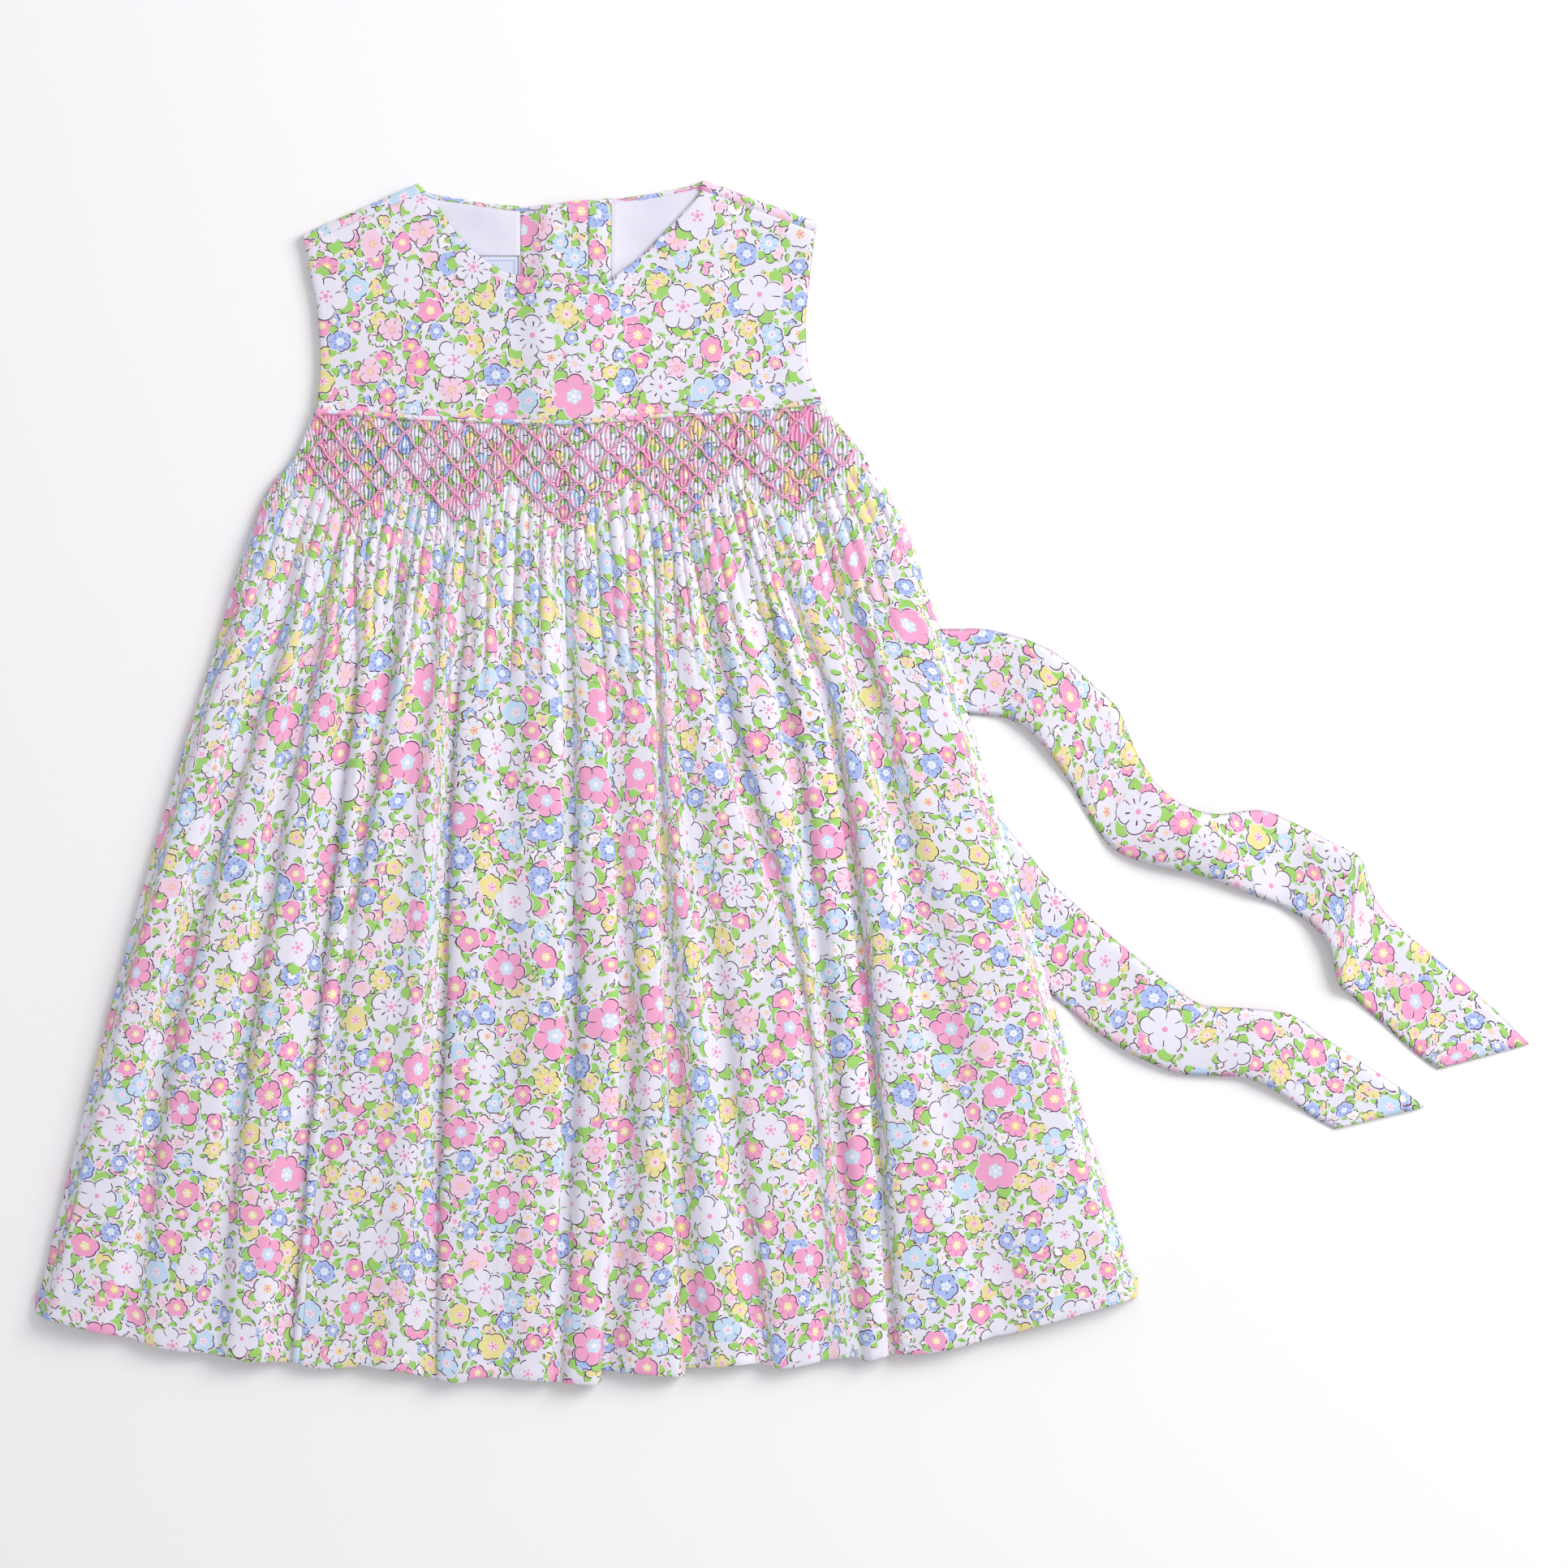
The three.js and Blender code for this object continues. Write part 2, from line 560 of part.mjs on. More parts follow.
// One row of smocked pleats at a depth below the seam: a crest and a valley for each
function pleatRow(depth, pleatHeight) {
  const v = depth / SKIRT_DROP;
  const level = depth / DIAMOND_HALF_DEEP;
  const points = shares(2 * PLEATS).map((share, k) => {
    const diamond = (Math.PI * k) / PLEATS_PER_DIAMOND;
    const shift = (-PINCH * Math.sin(diamond) * Math.cos(Math.PI * level)) / PLEATS;
    const u = clamp(share + shift, 0, 1);
    const [x, y] = skirtPoint(u, v);
    const crest = k % 2 === 1 ? pleatHeight : 0;
    return { u, x, y, z: SKIRT_REST + CLOTH + crest + bandPuff(u, v) + bulgeBelowSeam(x, y) };
  });
  return { v, points };
}

// The folds as they already begin to lift the lower part of the smocked band
function bandPuff(u, v) {
  let i = 0;
  while (i < foldEdges.length - 2 && u > foldEdges[i + 1].share(v)) i += 1;
  const { from, to } = space(i, v);
  return foldHeight(i, clamp((u - from) / (to - from), 0, 1), v);
}

function skirtFront() {
  const fewStations = [0, 0.12, 0.34, 0.62, 0.82];
  const manyStations = shares(8).slice(0, -1);
  const band = [
    [0, 0.9], [6.8, 1.8], [13.6, 1.9], [20.4, 1.9], [27.2, 1.8], [34, 1.6], [45, 1.1], [57, 0.6],
  ].map(([depth, height]) => pleatRow(depth, height));
  const gathered = [0.155, 0.2, 0.25].map((v) => skirtRow(v, manyStations, STEEP_WALL, true));
  const hanging = [0.31, 0.39, 0.48, 0.58, 0.69, 0.8, 0.9, 0.96, 1];
  const outer = [...band, ...gathered, ...hanging.map((v) => skirtRow(v, fewStations, STEEP_WALL, false))];
  const inner = [0, 0.06, 0.13, 0.2, ...hanging].map((v) => skirtRow(v, fewStations, 0, false));
  return wall('skirt_front', outer, inner, FLORAL);
}

// A tie's rows of points from its lower edge to its upper one
function tie(name, sections) {
  const rows = (rise) => sections.map(([upX, upY, lowX, lowY, lift, arch], k) => ({
    v: k,
    points: TIE_COLUMNS.map((u) => ({
      u,
      x: lerp(lowX, upX, u),
      y: lerp(lowY, upY, u),
      z: lift + arch * 4 * u * (1 - u) + rise,
    })),
  }));
  return wall(name, rows(CLOTH), rows(0), FLORAL);
}

function solidOf(geometry) {
  const index = Uint32Array.from(geometry.index.array);
  const position = Float32Array.from(geometry.attributes.position.array);
  return new wasm.Manifold(new wasm.Mesh({ numProp: 3, vertProperties: position, triVerts: index }));
}

// A flat plate through an outline, from height low to high, as a solid
function plate(outline, low, high) {
  const points = outline.map(([x, y]) => new THREE.Vector2(x, y));
  if (THREE.ShapeUtils.isClockWise(points)) points.reverse();
  const count = points.length;
  const geometry = new THREE.BufferGeometry();
  const heights = [low, high].flatMap((z) => points.flatMap((p) => [p.x, p.y, z]));
  geometry.setAttribute('position', new THREE.Float32BufferAttribute(heights, 3));
  const caps = THREE.ShapeUtils.triangulateShape(points, []);
  const faces = caps.flatMap(([a, b, c]) => [a, c, b, a + count, b + count, c + count]);
  points.forEach((_, i) => {
    const next = (i + 1) % count;
    faces.push(i, next, next + count, i, next + count, i + count);
  });
  geometry.setIndex(faces);
  return solidOf(geometry);
}

// The space that a tie needs under the back of the skirt
function tieGroove(sections) {
  const widen = ([upX, upY, lowX, lowY]) => {
    const length = Math.hypot(upX - lowX, upY - lowY);
    const dx = (GROOVE_CLEARANCE * (upX - lowX)) / length;
    const dy = (GROOVE_CLEARANCE * (upY - lowY)) / length;
    return { up: [upX + dx, upY + dy], low: [lowX - dx, lowY - dy] };
  };
  const wide = sections.map(widen);
  const outline = [...wide.map((row) => row.up), ...wide.map((row) => row.low).reverse()];
  return plate(outline, -1, TIE_GROOVE_DEPTH);
}

// The skirt's back, one flat panel with the gathers pressed down, open below where the ties pass
function skirtBack() {
  const steps = shares(14);
  const inward = (u) => SKIRT_BACK_INSET * (1 - 2 * u);
  const at = (u, v, lift) => {
    const [x, y] = skirtPoint(u, v);
    return [x + inward(u), y + lift];
  };
  const topLift = seamSetback - SEAM_GAP / 2;
  const outline = [
    ...steps.map((u) => at(u, 0, topLift)),
    ...steps.slice(1, -1).map((v) => at(1, v, 0)),
    ...steps.map((u) => at(1 - u, 1, SKIRT_BACK_INSET)),
    ...steps.slice(1, -1).map((v) => at(0, 1 - v, 0)),
  ];
  const rootEnd = ([upX, upY, lowX, lowY], dx) => [upX + dx, upY, lowX + dx, lowY];
  const leftRoot = rootEnd(LEFT_TIE_HIDDEN[0], -8);
  const rightRoot = rootEnd(RIGHT_TIE_HIDDEN[0], 8);
  const solid = plate(outline, 0, SKIRT_BACK_THICK)
    .subtract(tieGroove([leftRoot, ...LEFT_TIE_HIDDEN, LEFT_TIE_SHOWN[0]]))
    .subtract(tieGroove([rightRoot, ...RIGHT_TIE_HIDDEN, RIGHT_TIE_SHOWN[0]]));
  const mesh = solid.getMesh();
  const geometry = new THREE.BufferGeometry();
  geometry.setAttribute('position', new THREE.BufferAttribute(mesh.vertProperties, 3));
  geometry.setIndex(new THREE.BufferAttribute(mesh.triVerts, 1));
  return named('skirt_back', geometry, FLORAL);
}

const dress = new THREE.Group();
dress.name = 'smocked_dress';
dress.add(
  skirtBack(),
  ...backYoke(),
  neckLabel(),
  ...backButtons(),
  yokeFront(),
  yokePiping(),
  skirtFront(),
  tie('sash_tie_left', [...LEFT_TIE_HIDDEN, ...LEFT_TIE_SHOWN]),
  tie('sash_tie_right', [...RIGHT_TIE_HIDDEN, ...RIGHT_TIE_SHOWN]),
);

export default dress;
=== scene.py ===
"""A child's smocked dress laid flat: thin cloth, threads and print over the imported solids. Metres."""

import math

import bpy
import numpy as np
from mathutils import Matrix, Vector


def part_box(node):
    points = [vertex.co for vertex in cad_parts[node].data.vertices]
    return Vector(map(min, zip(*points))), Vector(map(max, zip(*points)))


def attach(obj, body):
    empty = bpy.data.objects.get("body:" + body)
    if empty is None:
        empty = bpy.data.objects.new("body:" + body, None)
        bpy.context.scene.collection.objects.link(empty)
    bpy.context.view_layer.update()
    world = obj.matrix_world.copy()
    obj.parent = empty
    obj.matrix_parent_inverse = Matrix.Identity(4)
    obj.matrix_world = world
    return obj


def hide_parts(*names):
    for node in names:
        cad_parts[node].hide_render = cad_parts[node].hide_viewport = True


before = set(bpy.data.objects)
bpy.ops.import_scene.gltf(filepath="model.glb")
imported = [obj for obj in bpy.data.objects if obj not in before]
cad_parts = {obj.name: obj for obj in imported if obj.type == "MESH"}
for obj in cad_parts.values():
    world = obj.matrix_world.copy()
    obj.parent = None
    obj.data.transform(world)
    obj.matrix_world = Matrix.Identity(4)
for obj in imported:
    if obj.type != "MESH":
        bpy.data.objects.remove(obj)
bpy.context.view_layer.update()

MM = 0.001
TAU = 2 * math.pi
PHOTO_FIELD = 0.7728
FIELD_LEVEL = 0.005
CAMERA_HEIGHT = 2.2
CAMERA_ASIDE = 0.0004
SENSOR = 36.0

# The camera comes first: straight above, the neck up
camera_data = bpy.data.cameras.new("camera")
camera = bpy.data.objects.new("camera", camera_data)
bpy.context.scene.collection.objects.link(camera)
camera.location = (CAMERA_ASIDE, -CAMERA_ASIDE, CAMERA_HEIGHT)
camera_data.sensor_width = SENSOR
camera_data.lens = SENSOR * (CAMERA_HEIGHT - FIELD_LEVEL) / PHOTO_FIELD
bpy.context.scene.camera = camera

# Sizes, in millimetres, as in the solids
CLOTH = 1.2
BACK_CLOTH = 1.0
SEAM_GAP = 0.3
HALF_GAP = SEAM_GAP / 2
LINING_REST = 1.3
LABEL_REST = 2.6
LABEL_CLOTH = 0.5
YOKE_REST = 3.4
SKIRT_REST = 3.0
SEAM_SETBACK = 1.6
LEFT_OUTER, LEFT_NECK = (-236.0, 270.0), (-180.0, 294.8)
RIGHT_NECK, RIGHT_OUTER = (-39.6, 296.4), (16.0, 276.0)
SHOULDER_SETBACK = 4.0
LEFT_FACING_FROM, PLACKET_EDGE, RIGHT_FACING_TO, RIGHT_HALF_FROM = -129.6, -96.4, -84.8, -114.0
LABEL_FROM, LABEL_TO = (-164.0, 234.0), (-130.2, 260.4)
SKIRT_DROP = 470.0
PIPING_RADIUS = 1.3

# How far the placket's layers raise the front, the left half and the right half, and where that fades
PLACKET_BULGE, LEFT_HALF_LIFT, RIGHT_HALF_LIFT = 2.9, 3.2, 1.9
BULGE_FADE = 26.0

WAIST_SEAM = [(-230, 183.2), (-160, 179.2), (-110, 177.6), (-63, 180.8), (-12, 184.8), (18, 187.6)]
SEAM_FROM, SEAM_TO = -230.0, 18.0
NECKLINE = [
    (-180, 294.8), (-172.4, 286.8), (-162, 271.6), (-153, 262), (-146, 256.8), (-138, 252.4), (-129.6, 250),
    (-108, 246.4), (-97.6, 246), (-86.8, 246.6), (-81.6, 250.4), (-70.8, 258.8), (-60, 269.6), (-49.2, 281.2),
    (-39.6, 296.4)]
BACK_NECK = [
    (-180, 294.8), (-174, 290.8), (-156, 287.6), (-144, 285.6), (-126, 284.4), (-102, 286.8), (-72, 289.6),
    (-48, 294), (-39.6, 296.4)]
LEFT_ARMHOLE = [(186, -229.6), (208, -228), (232, -229.2), (252, -233.2), (270, -236)]
RIGHT_ARMHOLE = [(189, 18.6), (196, 14.8), (206, 12), (226, 10.8), (256, 13.6), (276, 16)]
LEFT_SIDE = [
    (-262, -368.6), (-174, -347.2), (-102, -328.8), (-30, -308.8), (18, -294.8), (66, -279.6), (102, -269.2),
    (126, -261.2), (145, -253), (162, -240), (182, -231.2), (184, -230)]
RIGHT_SIDE = [
    (-254, 174.4), (-206, 160.4), (-158, 146), (-110, 132.8), (-10, 103.6), (30, 91.6), (86, 73.2),
    (116, 63.6), (136, 54.8), (156, 43.6), (176, 27.6), (188, 18)]
HEM = [
    (-368.6, -261), (-318, -273.5), (-254, -284), (-174, -288.5), (-92, -290.4), (-22, -286), (50, -281),
    (102.8, -272), (138, -262.4), (174.4, -253)]

# Folds, one row for each valley: its x at the four fold rows, its depth there, the drop of the ridge on its
# right, then how far its left and its right side take to rise
FOLD_ROWS = (0.13, 0.33, 0.62, 1.0)
FOLDS = [
    ((-239, -264, -299, -320), (0.6, 0.9, 0.9, 0.4), 2, 9, 7),
    ((-220, -240, -262, -281), (0.7, 0.8, 0.8, 0.4), 1, 9, 6),
    ((-211, -212, -227, -242), (0.5, 0.8, 1, 1), 0, 16, 2.4),
    ((-188, -200, -220, -238), (0.7, 0.9, 0.4, 0), 2, 8, 5),
    ((-167, -180, -194, -210), (0.7, 0.5, 0.1, 0), 1, 9, 9),
    ((-157, -162, -166, -171), (0.8, 0.8, 0.8, 0.6), 6, 15, 2.6),
    ((-132, -136, -138, -140), (0.6, 0.5, 0.3, 0.2), 2, 12, 10),
    ((-108, -106, -105, -112), (0.8, 0.9, 0.9, 0.8), 6, 4, 6),
    ((-92, -86, -80, -89.6), (0.5, 0.4, 0.9, 0.9), 4, 2.2, 14),
    ((-64, -62, -58, -48), (0.6, 0.6, 0.8, 0.9), 0, 2.2, 14),
    ((-55, -50, -32, -10), (0.1, 0.2, 0.6, 0.7), 3, 10, 8),
    ((-46, -27, 10, 22), (0.8, 0.9, 0.4, 0.1), 0, 5, 8),
    ((-21, 2, 19, 37), (0.4, 0.7, 0.4, 0.1), 2, 7, 7),
    ((-7, 22, 39, 52), (0.6, 0.9, 1, 1), 2, 2.4, 6),
    ((18, 44, 72, 105), (0.7, 0.8, 0.4, 0.4), 1, 8, 12),
]
# Where a ridge's crown lies, by its space, and elsewhere
LEANS = {8: 1.5, 9: 1.5, 14: 1.0}
SKEW = 0.65
# The flat floor of a deep valley, the run of a side's rise just below the band, how much longer a shallow
# side's is, the run that still rolls over its valley, and the most that it rolls
VALLEY_FLOOR, GATHERED_RISE, SHALLOW_RISE, ROLLED_RISE, MOST_ROLL = 2.4, 5.0, 2.2, 2.8, 3.0

# How far the hem falls below its mean line in spaces 5 to 8 and in space 9, as x and fall
FALL_LEFT = [
    (-225, 0), (-212, -1), (-196, 0.6), (-186, 1.8), (-172, 4), (-160, 5.8), (-157.5, 5.6), (-153.5, 3.3),
    (-148, 2.8), (-130, 3.2), (-110, 4.4), (-89.6, 5.6)]
FALL_MIDDLE = [(-89.6, -1.6), (-70, 0.6), (-48, 4)]
RIDGE_HEIGHT = [(0.05, 0), (0.13, 2.6), (0.33, 5.4), (0.62, 7), (1, 6.2)]
# Short gathers below the band, by space
GATHERS = (4, 3, 2, 4, 4, 2, 4, 4, 3, 4, 2, 2, 4, 3, 4, 6)
GATHER_HEIGHT = 1.7

# The smocked lattice: where each diamond's edge lies, and its levels below the seam
LATTICE = [
    (-2, -266), (0.5, -235), (2.5, -210.8), (4.5, -186), (6.5, -161.2), (8.5, -134.6), (10.5, -108.0),
    (12.5, -77.8), (14.5, -49.2), (16.5, -21.4), (18.5, 7.6), (20, 28.9), (22.5, 66)]
LEVELS = (0.0, 5.9, 13.7, 21.2, 28.0, 34.8, 41.4, 47.2)
PLEATS, PLEATS_A_DIAMOND = 192, 8
PLEAT_HEIGHT = 1.45
PINCH = 0.5
BAND_DEPTH = 66.0
# The lattice's first and last half diamond, and its points, one for every fourth diamond
FIRST_HALF, LAST_HALF = -3, 46
TIPS = [2.5 + 4 * k for k in range(5)]
TIP_LEVEL, FULL_LEVEL = 7, 3
THREAD_RADIUS, KNOT_RADIUS = 0.28, 0.4
# Cloth that each deep valley hides
HIDDEN_CLOTH = 7.0

# Ties: upper edge x, y, lower edge x, y, lift, arch
RIGHT_TIE = [
    (47, 148, 25, 176, 0, 0), (34.4, 135.6, 5.6, 160.4, 0, 0), (19.5, 114.6, -15.5, 129.4, 0, 0),
    (16.8, 99, -20.8, 93, 0, 0), (23.1, 85.8, -3.1, 58.2, 0, 0), (41.3, 78.2, 30.7, 41.8, 0, 0),
    (63.6, 76, 60.4, 38, 0, 0), (94, 76.4, 90.8, 34, 0, 0), (114, 72.8, 106.8, 32.8, 1.5, 0),
    (134, 64.4, 121.2, 26, 4, 1), (152, 49.2, 132.8, 12.4, 3, 1), (165.2, 36.8, 142.8, -2, 1, 0),
    (174, 16.4, 152, -18.8, 0, 0), (184, 0.4, 164, -33.2, 2, 1), (196, -10, 184, -40.8, 4, 3),
    (214, -15.2, 206, -45.6, 4, 5), (234, -13.2, 228, -54, 3, 1), (254, -20.4, 244, -60.4, 1, 0),
    (270, -28.8, 258.8, -68.4, 3, 0), (284, -36.4, 268.8, -80, 6, 0), (292, -57.2, 274, -99.6, 5, 1),
    (304, -70.8, 282.8, -107.2, 1, 0), (318, -82.8, 297.2, -120, 0, 0), (334, -96.4, 312, -133.2, 0, 0),
    (351.2, -111.6, 320, -139.2, 0, 0), (368.4, -128.8, 323.2, -141.2, 0, 0)]
LEFT_TIE = [
    (-237.5, 164, -257, 132, 0, 0), (-65, 73, -86, 39, 0, 0), (106.8, -18, 85.2, -54, 0, 0),
    (118.8, -32, 96, -70, 0, 0), (134, -50.4, 114, -90, 0, 0), (148, -63, 128, -101, 0, 0),
    (160, -74, 140, -111, 0, 0), (174, -85.6, 154, -122.4, 2, 0), (194, -101.6, 176, -135.6, 3, 1),
    (210, -110, 200, -144, 2, 2), (228, -110.8, 224, -144.8, 3, 2), (248, -113.2, 238, -149.2, 4, 1),
    (266, -124.8, 250, -156.8, 2, 1), (286, -138, 264, -166.4, 0, 0), (302, -148.4, 270, -169.6, 0, 0),
    (316.8, -160, 272, -170.8, 0, 0)]

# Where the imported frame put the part's own origin
label_low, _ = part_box("neck_label")
SHIFT = np.array([label_low.x / MM - LABEL_FROM[0], label_low.y / MM - LABEL_FROM[1], 0.0])

rng = np.random.default_rng(41)


# Curves and fields
def through(rows):
    """A smooth function through (at, value) rows that doesn't overshoot"""
    at, value = (np.array(c, float) for c in zip(*rows))
    wide = np.diff(at)
    steep = np.diff(value) / wide
    slope = np.zeros(len(at))
    slope[0], slope[-1] = steep[0], steep[-1]
    for i in range(1, len(at) - 1):
        if steep[i - 1] * steep[i] > 0:
            slope[i] = 2 * steep[i - 1] * steep[i] / (steep[i - 1] + steep[i])

    def f(x):
        x = np.clip(x, at[0], at[-1])
        i = np.clip(np.searchsorted(at, x, side="right") - 1, 0, len(at) - 2)
        t = (x - at[i]) / wide[i]
        ease = t * t * (3 - 2 * t)
        return (value[i] + (value[i + 1] - value[i]) * ease
                + wide[i] * t * (1 - t) * ((1 - t) * slope[i] - t * slope[i + 1]))

    return f


def smooth(x, low, high):
    t = np.clip((x - low) / (high - low), 0, 1)
    return t * t * (3 - 2 * t)


def lerp(a, b, t):
    return a + (b - a) * t


seam_y = through(WAIST_SEAM)
neckline_y = through(NECKLINE)
back_neck_y = through(BACK_NECK)
left_armhole_x = through(LEFT_ARMHOLE)
right_armhole_x = through(RIGHT_ARMHOLE)
left_side_x = through(LEFT_SIDE)
right_side_x = through(RIGHT_SIDE)
hem_y = through(HEM)
ridge_height = through(RIDGE_HEIGHT)
FALLS = {**dict.fromkeys(range(5, 9), through(FALL_LEFT)), 9: through(FALL_MIDDLE)}
lattice_x = through(LATTICE)
LATTICE_D = np.linspace(LATTICE[0][0], LATTICE[-1][0], 600)


def lattice_d(x):
    """Which diamond lies at x"""
    return np.interp(x, lattice_x(LATTICE_D), LATTICE_D)


def front_bulge(x):
    return PLACKET_BULGE * smooth(x, LEFT_FACING_FROM - 5, RIGHT_HALF_FROM - 4) * (
        1 - smooth(x, PLACKET_EDGE + 3, RIGHT_FACING_TO + 14))


def left_lift(x):
    return LEFT_HALF_LIFT * smooth(x, LEFT_FACING_FROM, RIGHT_HALF_FROM - 1)


def right_lift(x):
    return RIGHT_HALF_LIFT * (1 - smooth(x, PLACKET_EDGE + 3, RIGHT_FACING_TO + 5))


def bulge_below_seam(x, y):
    return front_bulge(x) * (1 - smooth(seam_y(x) - y, 0, BULGE_FADE))


def skirt_fall(share, v):
    top = seam_y(lerp(SEAM_FROM, SEAM_TO, share)) - SEAM_SETBACK
    hem = hem_y(lerp(HEM[0][0], HEM[-1][0], share))
    return top - SKIRT_DROP * v - (top - hem - SKIRT_DROP) * v * v


def skirt_edges(v):
    return left_side_x(skirt_fall(0.0, v)), right_side_x(skirt_fall(1.0, v))


def edge_rows():
    """Each valley and the cloth's two sides: share of the row, depth, drop, and its sides' rises"""
    rows = []
    for xs, deeps, drop, rise_left, rise_right in FOLDS:
        shares = []
        for v, x in zip(FOLD_ROWS, xs):
            left, right = skirt_edges(v)
            shares.append((v, (x - left) / (right - left)))
        rows.append((through(shares), through(list(zip(FOLD_ROWS, deeps))), drop, rise_left, rise_right))
    side = (np.zeros_like, np.ones_like, 1, 8, 8)
    far = (np.ones_like, np.ones_like, 0, 8, 8)
    return [side, *rows, far]


EDGES = edge_rows()
SPACES = len(EDGES) - 1
_, end_draws, size_draws = rng.random((3, SPACES, max(GATHERS)))
gather_ends = 0.2 + 0.15 * end_draws
gather_size = 0.75 + 0.5 * size_draws


def widths(v):
    """The share and depth of every fold edge at v, the spaces' widths in mm and their crowns"""
    share = np.array([edge[0](v) for edge in EDGES])
    deep = np.array([edge[1](v) for edge in EDGES])
    left, right = skirt_edges(v)
    wide = np.diff(share, axis=0) * (right - left)
    deepest = np.maximum(deep[:-1], deep[1:])
    crown = np.minimum(ridge_height(v) * (0.45 + 0.55 * deepest), 0.42 * wide + 1)
    return share, deep, wide, crown


def fold_side(away, deep, rise, v, wide, inner):
    """A fold's side at a distance from its valley: how far up it is, and how far it rolls over the valley"""
    floor = np.minimum(VALLEY_FLOOR * smooth(deep, 0.5, 0.95), 0.1 * wide) * inner
    run = lerp(GATHERED_RISE, rise, smooth(v, 0.12, 0.3)) * lerp(SHALLOW_RISE, 1.0, smooth(deep, 0.2, 0.8))
    run = np.minimum(run, 0.5 * wide)
    wall = smooth(away, floor, floor + run)
    steep = np.clip(ROLLED_RISE / np.maximum(run, 1), 0, 1) ** 1.4 * inner
    return wall, 4 * wall * (1 - wall) * steep


def fold_lift(i, t, v):
    """The cloth's height above its rest in space i, and how far it leans sideways over the valley"""
    _, deep, wide, crown = widths(v)
    here, w = crown[i], wide[i]
    left_crown = np.minimum(here, crown[i - 1]) if i > 0 else here
    right_crown = np.minimum(here, crown[i + 1]) if i < SPACES - 1 else here
    floor = lerp(left_crown * (1 - deep[i]), right_crown * (1 - deep[i + 1]), t)
    wall_left, roll_left = fold_side(t * w, deep[i], EDGES[i][4], v, w, i > 0)
    wall_right, roll_right = fold_side((1 - t) * w, deep[i + 1], EDGES[i + 1][3], v, w, i < SPACES - 1)
    dome = 0.72 + 0.28 * np.sin(math.pi * t ** LEANS.get(i, SKEW))
    lift = floor + (here - floor) * wall_left * wall_right * dome
    return lift, np.minimum(0.65 * (here - floor), MOST_ROLL) * (roll_right - roll_left)


def gathers(i, t, v):
    """Short gathers between the folds, ending unevenly, as they are below the smocked band"""
    count = GATHERS[i]
    k = np.clip((t * count).astype(int), 0, count - 1)
    ends, sizes = gather_ends[i][k], gather_size[i][k]
    bump = np.abs(np.sin(math.pi * count * t)) ** 0.6
    return GATHER_HEIGHT * sizes * bump * (1 - smooth(v, ends - 0.1, ends))


def wander(x, y):
    """Low unevenness of cloth that has been worn and washed"""
    return (0.28 * np.sin(x / 17.0 + 1.3 * np.sin(y / 31.0)) * np.sin(y / 23.0 + 0.9 * np.sin(x / 29.0))
            + 0.16 * np.sin(x / 7.3 + y / 11.0 + 2.0 * np.sin(y / 19.0)))


def space_of(u, v):
    """Space number and share of it, for points at shares u of one row"""
    share = np.array([float(edge[0](np.array(v))) for edge in EDGES])
    i = np.clip(np.searchsorted(share, u, side="right") - 1, 0, SPACES - 1)
    return i, np.clip((u - share[i]) / (share[i + 1] - share[i]), 0, 1)


# Meshes
def add_mesh(name, points, faces, uvs, material):
    """A smooth mesh object from points and one cloth coordinate for each, all in millimetres"""
    points = (np.asarray(points, float) + SHIFT) * MM
    mesh = bpy.data.meshes.new(name)
    mesh.from_pydata(points.tolist(), [], [tuple(f) for f in faces])
    layer = mesh.uv_layers.new(name="cloth")
    loops = np.zeros(len(mesh.loops), np.int32)
    mesh.loops.foreach_get("vertex_index", loops)
    layer.data.foreach_set("uv", (np.asarray(uvs, float)[loops] * MM).ravel())
    mesh.polygons.foreach_set("use_smooth", [True] * len(mesh.polygons))
    mesh.materials.append(material)
    mesh.update()
    return link(name, mesh)


def link(name, data):
    """An object in the scene with this data"""
    piece = bpy.data.objects.new(name, data)
    bpy.context.scene.collection.objects.link(piece)
    return piece


class Build:
    """Points, faces and cloth coordinates of a piece, gathered bit by bit"""

    def __init__(self):
        self.points, self.uvs, self.faces, self.count = [], [], [], 0

    def row(self, points, uvs):
        points, uvs = np.asarray(points, float), np.asarray(uvs, float)
        self.points.append(points)
        self.uvs.append(uvs)
        start = self.count
        self.count += len(points)
        return np.arange(start, self.count)

    def strip(self, rows):
        """Rows of points and cloth coordinates, each joined to the one before"""
        last = None
        for points, uvs in rows:
            index = self.row(points, uvs)
            if last is not None:
                self.quads(last, index)
            last = index

    def quads(self, above, below):
        for a, b, c, d in zip(above[:-1], below[:-1], below[1:], above[1:]):
            self.faces.append((a, b, c, d))

    def zip_rows(self, above, at_above, below, at_below):
        i = j = 0
        while i < len(above) - 1 or j < len(below) - 1:
            if j == len(below) - 1 or (i < len(above) - 1 and at_above[i + 1] <= at_below[j + 1]):
                self.faces.append((above[i], below[j], above[i + 1]))
                i += 1
            else:
                self.faces.append((above[i], below[j], below[j + 1]))
                j += 1

    def piece(self, name, material):
        return add_mesh(name, np.concatenate(self.points), self.faces, np.concatenate(self.uvs), material)


# Materials
def feed(tree, socket, value):
    """Sets a socket to a value, or links it to what another node gives"""
    if isinstance(value, Num):
        value = value.out
    if isinstance(value, bpy.types.NodeSocket):
        tree.links.new(value, socket)
    else:
        socket.default_value = value


def operator(operation):
    def method(self, other):
        return self.do(operation, other)
    return method


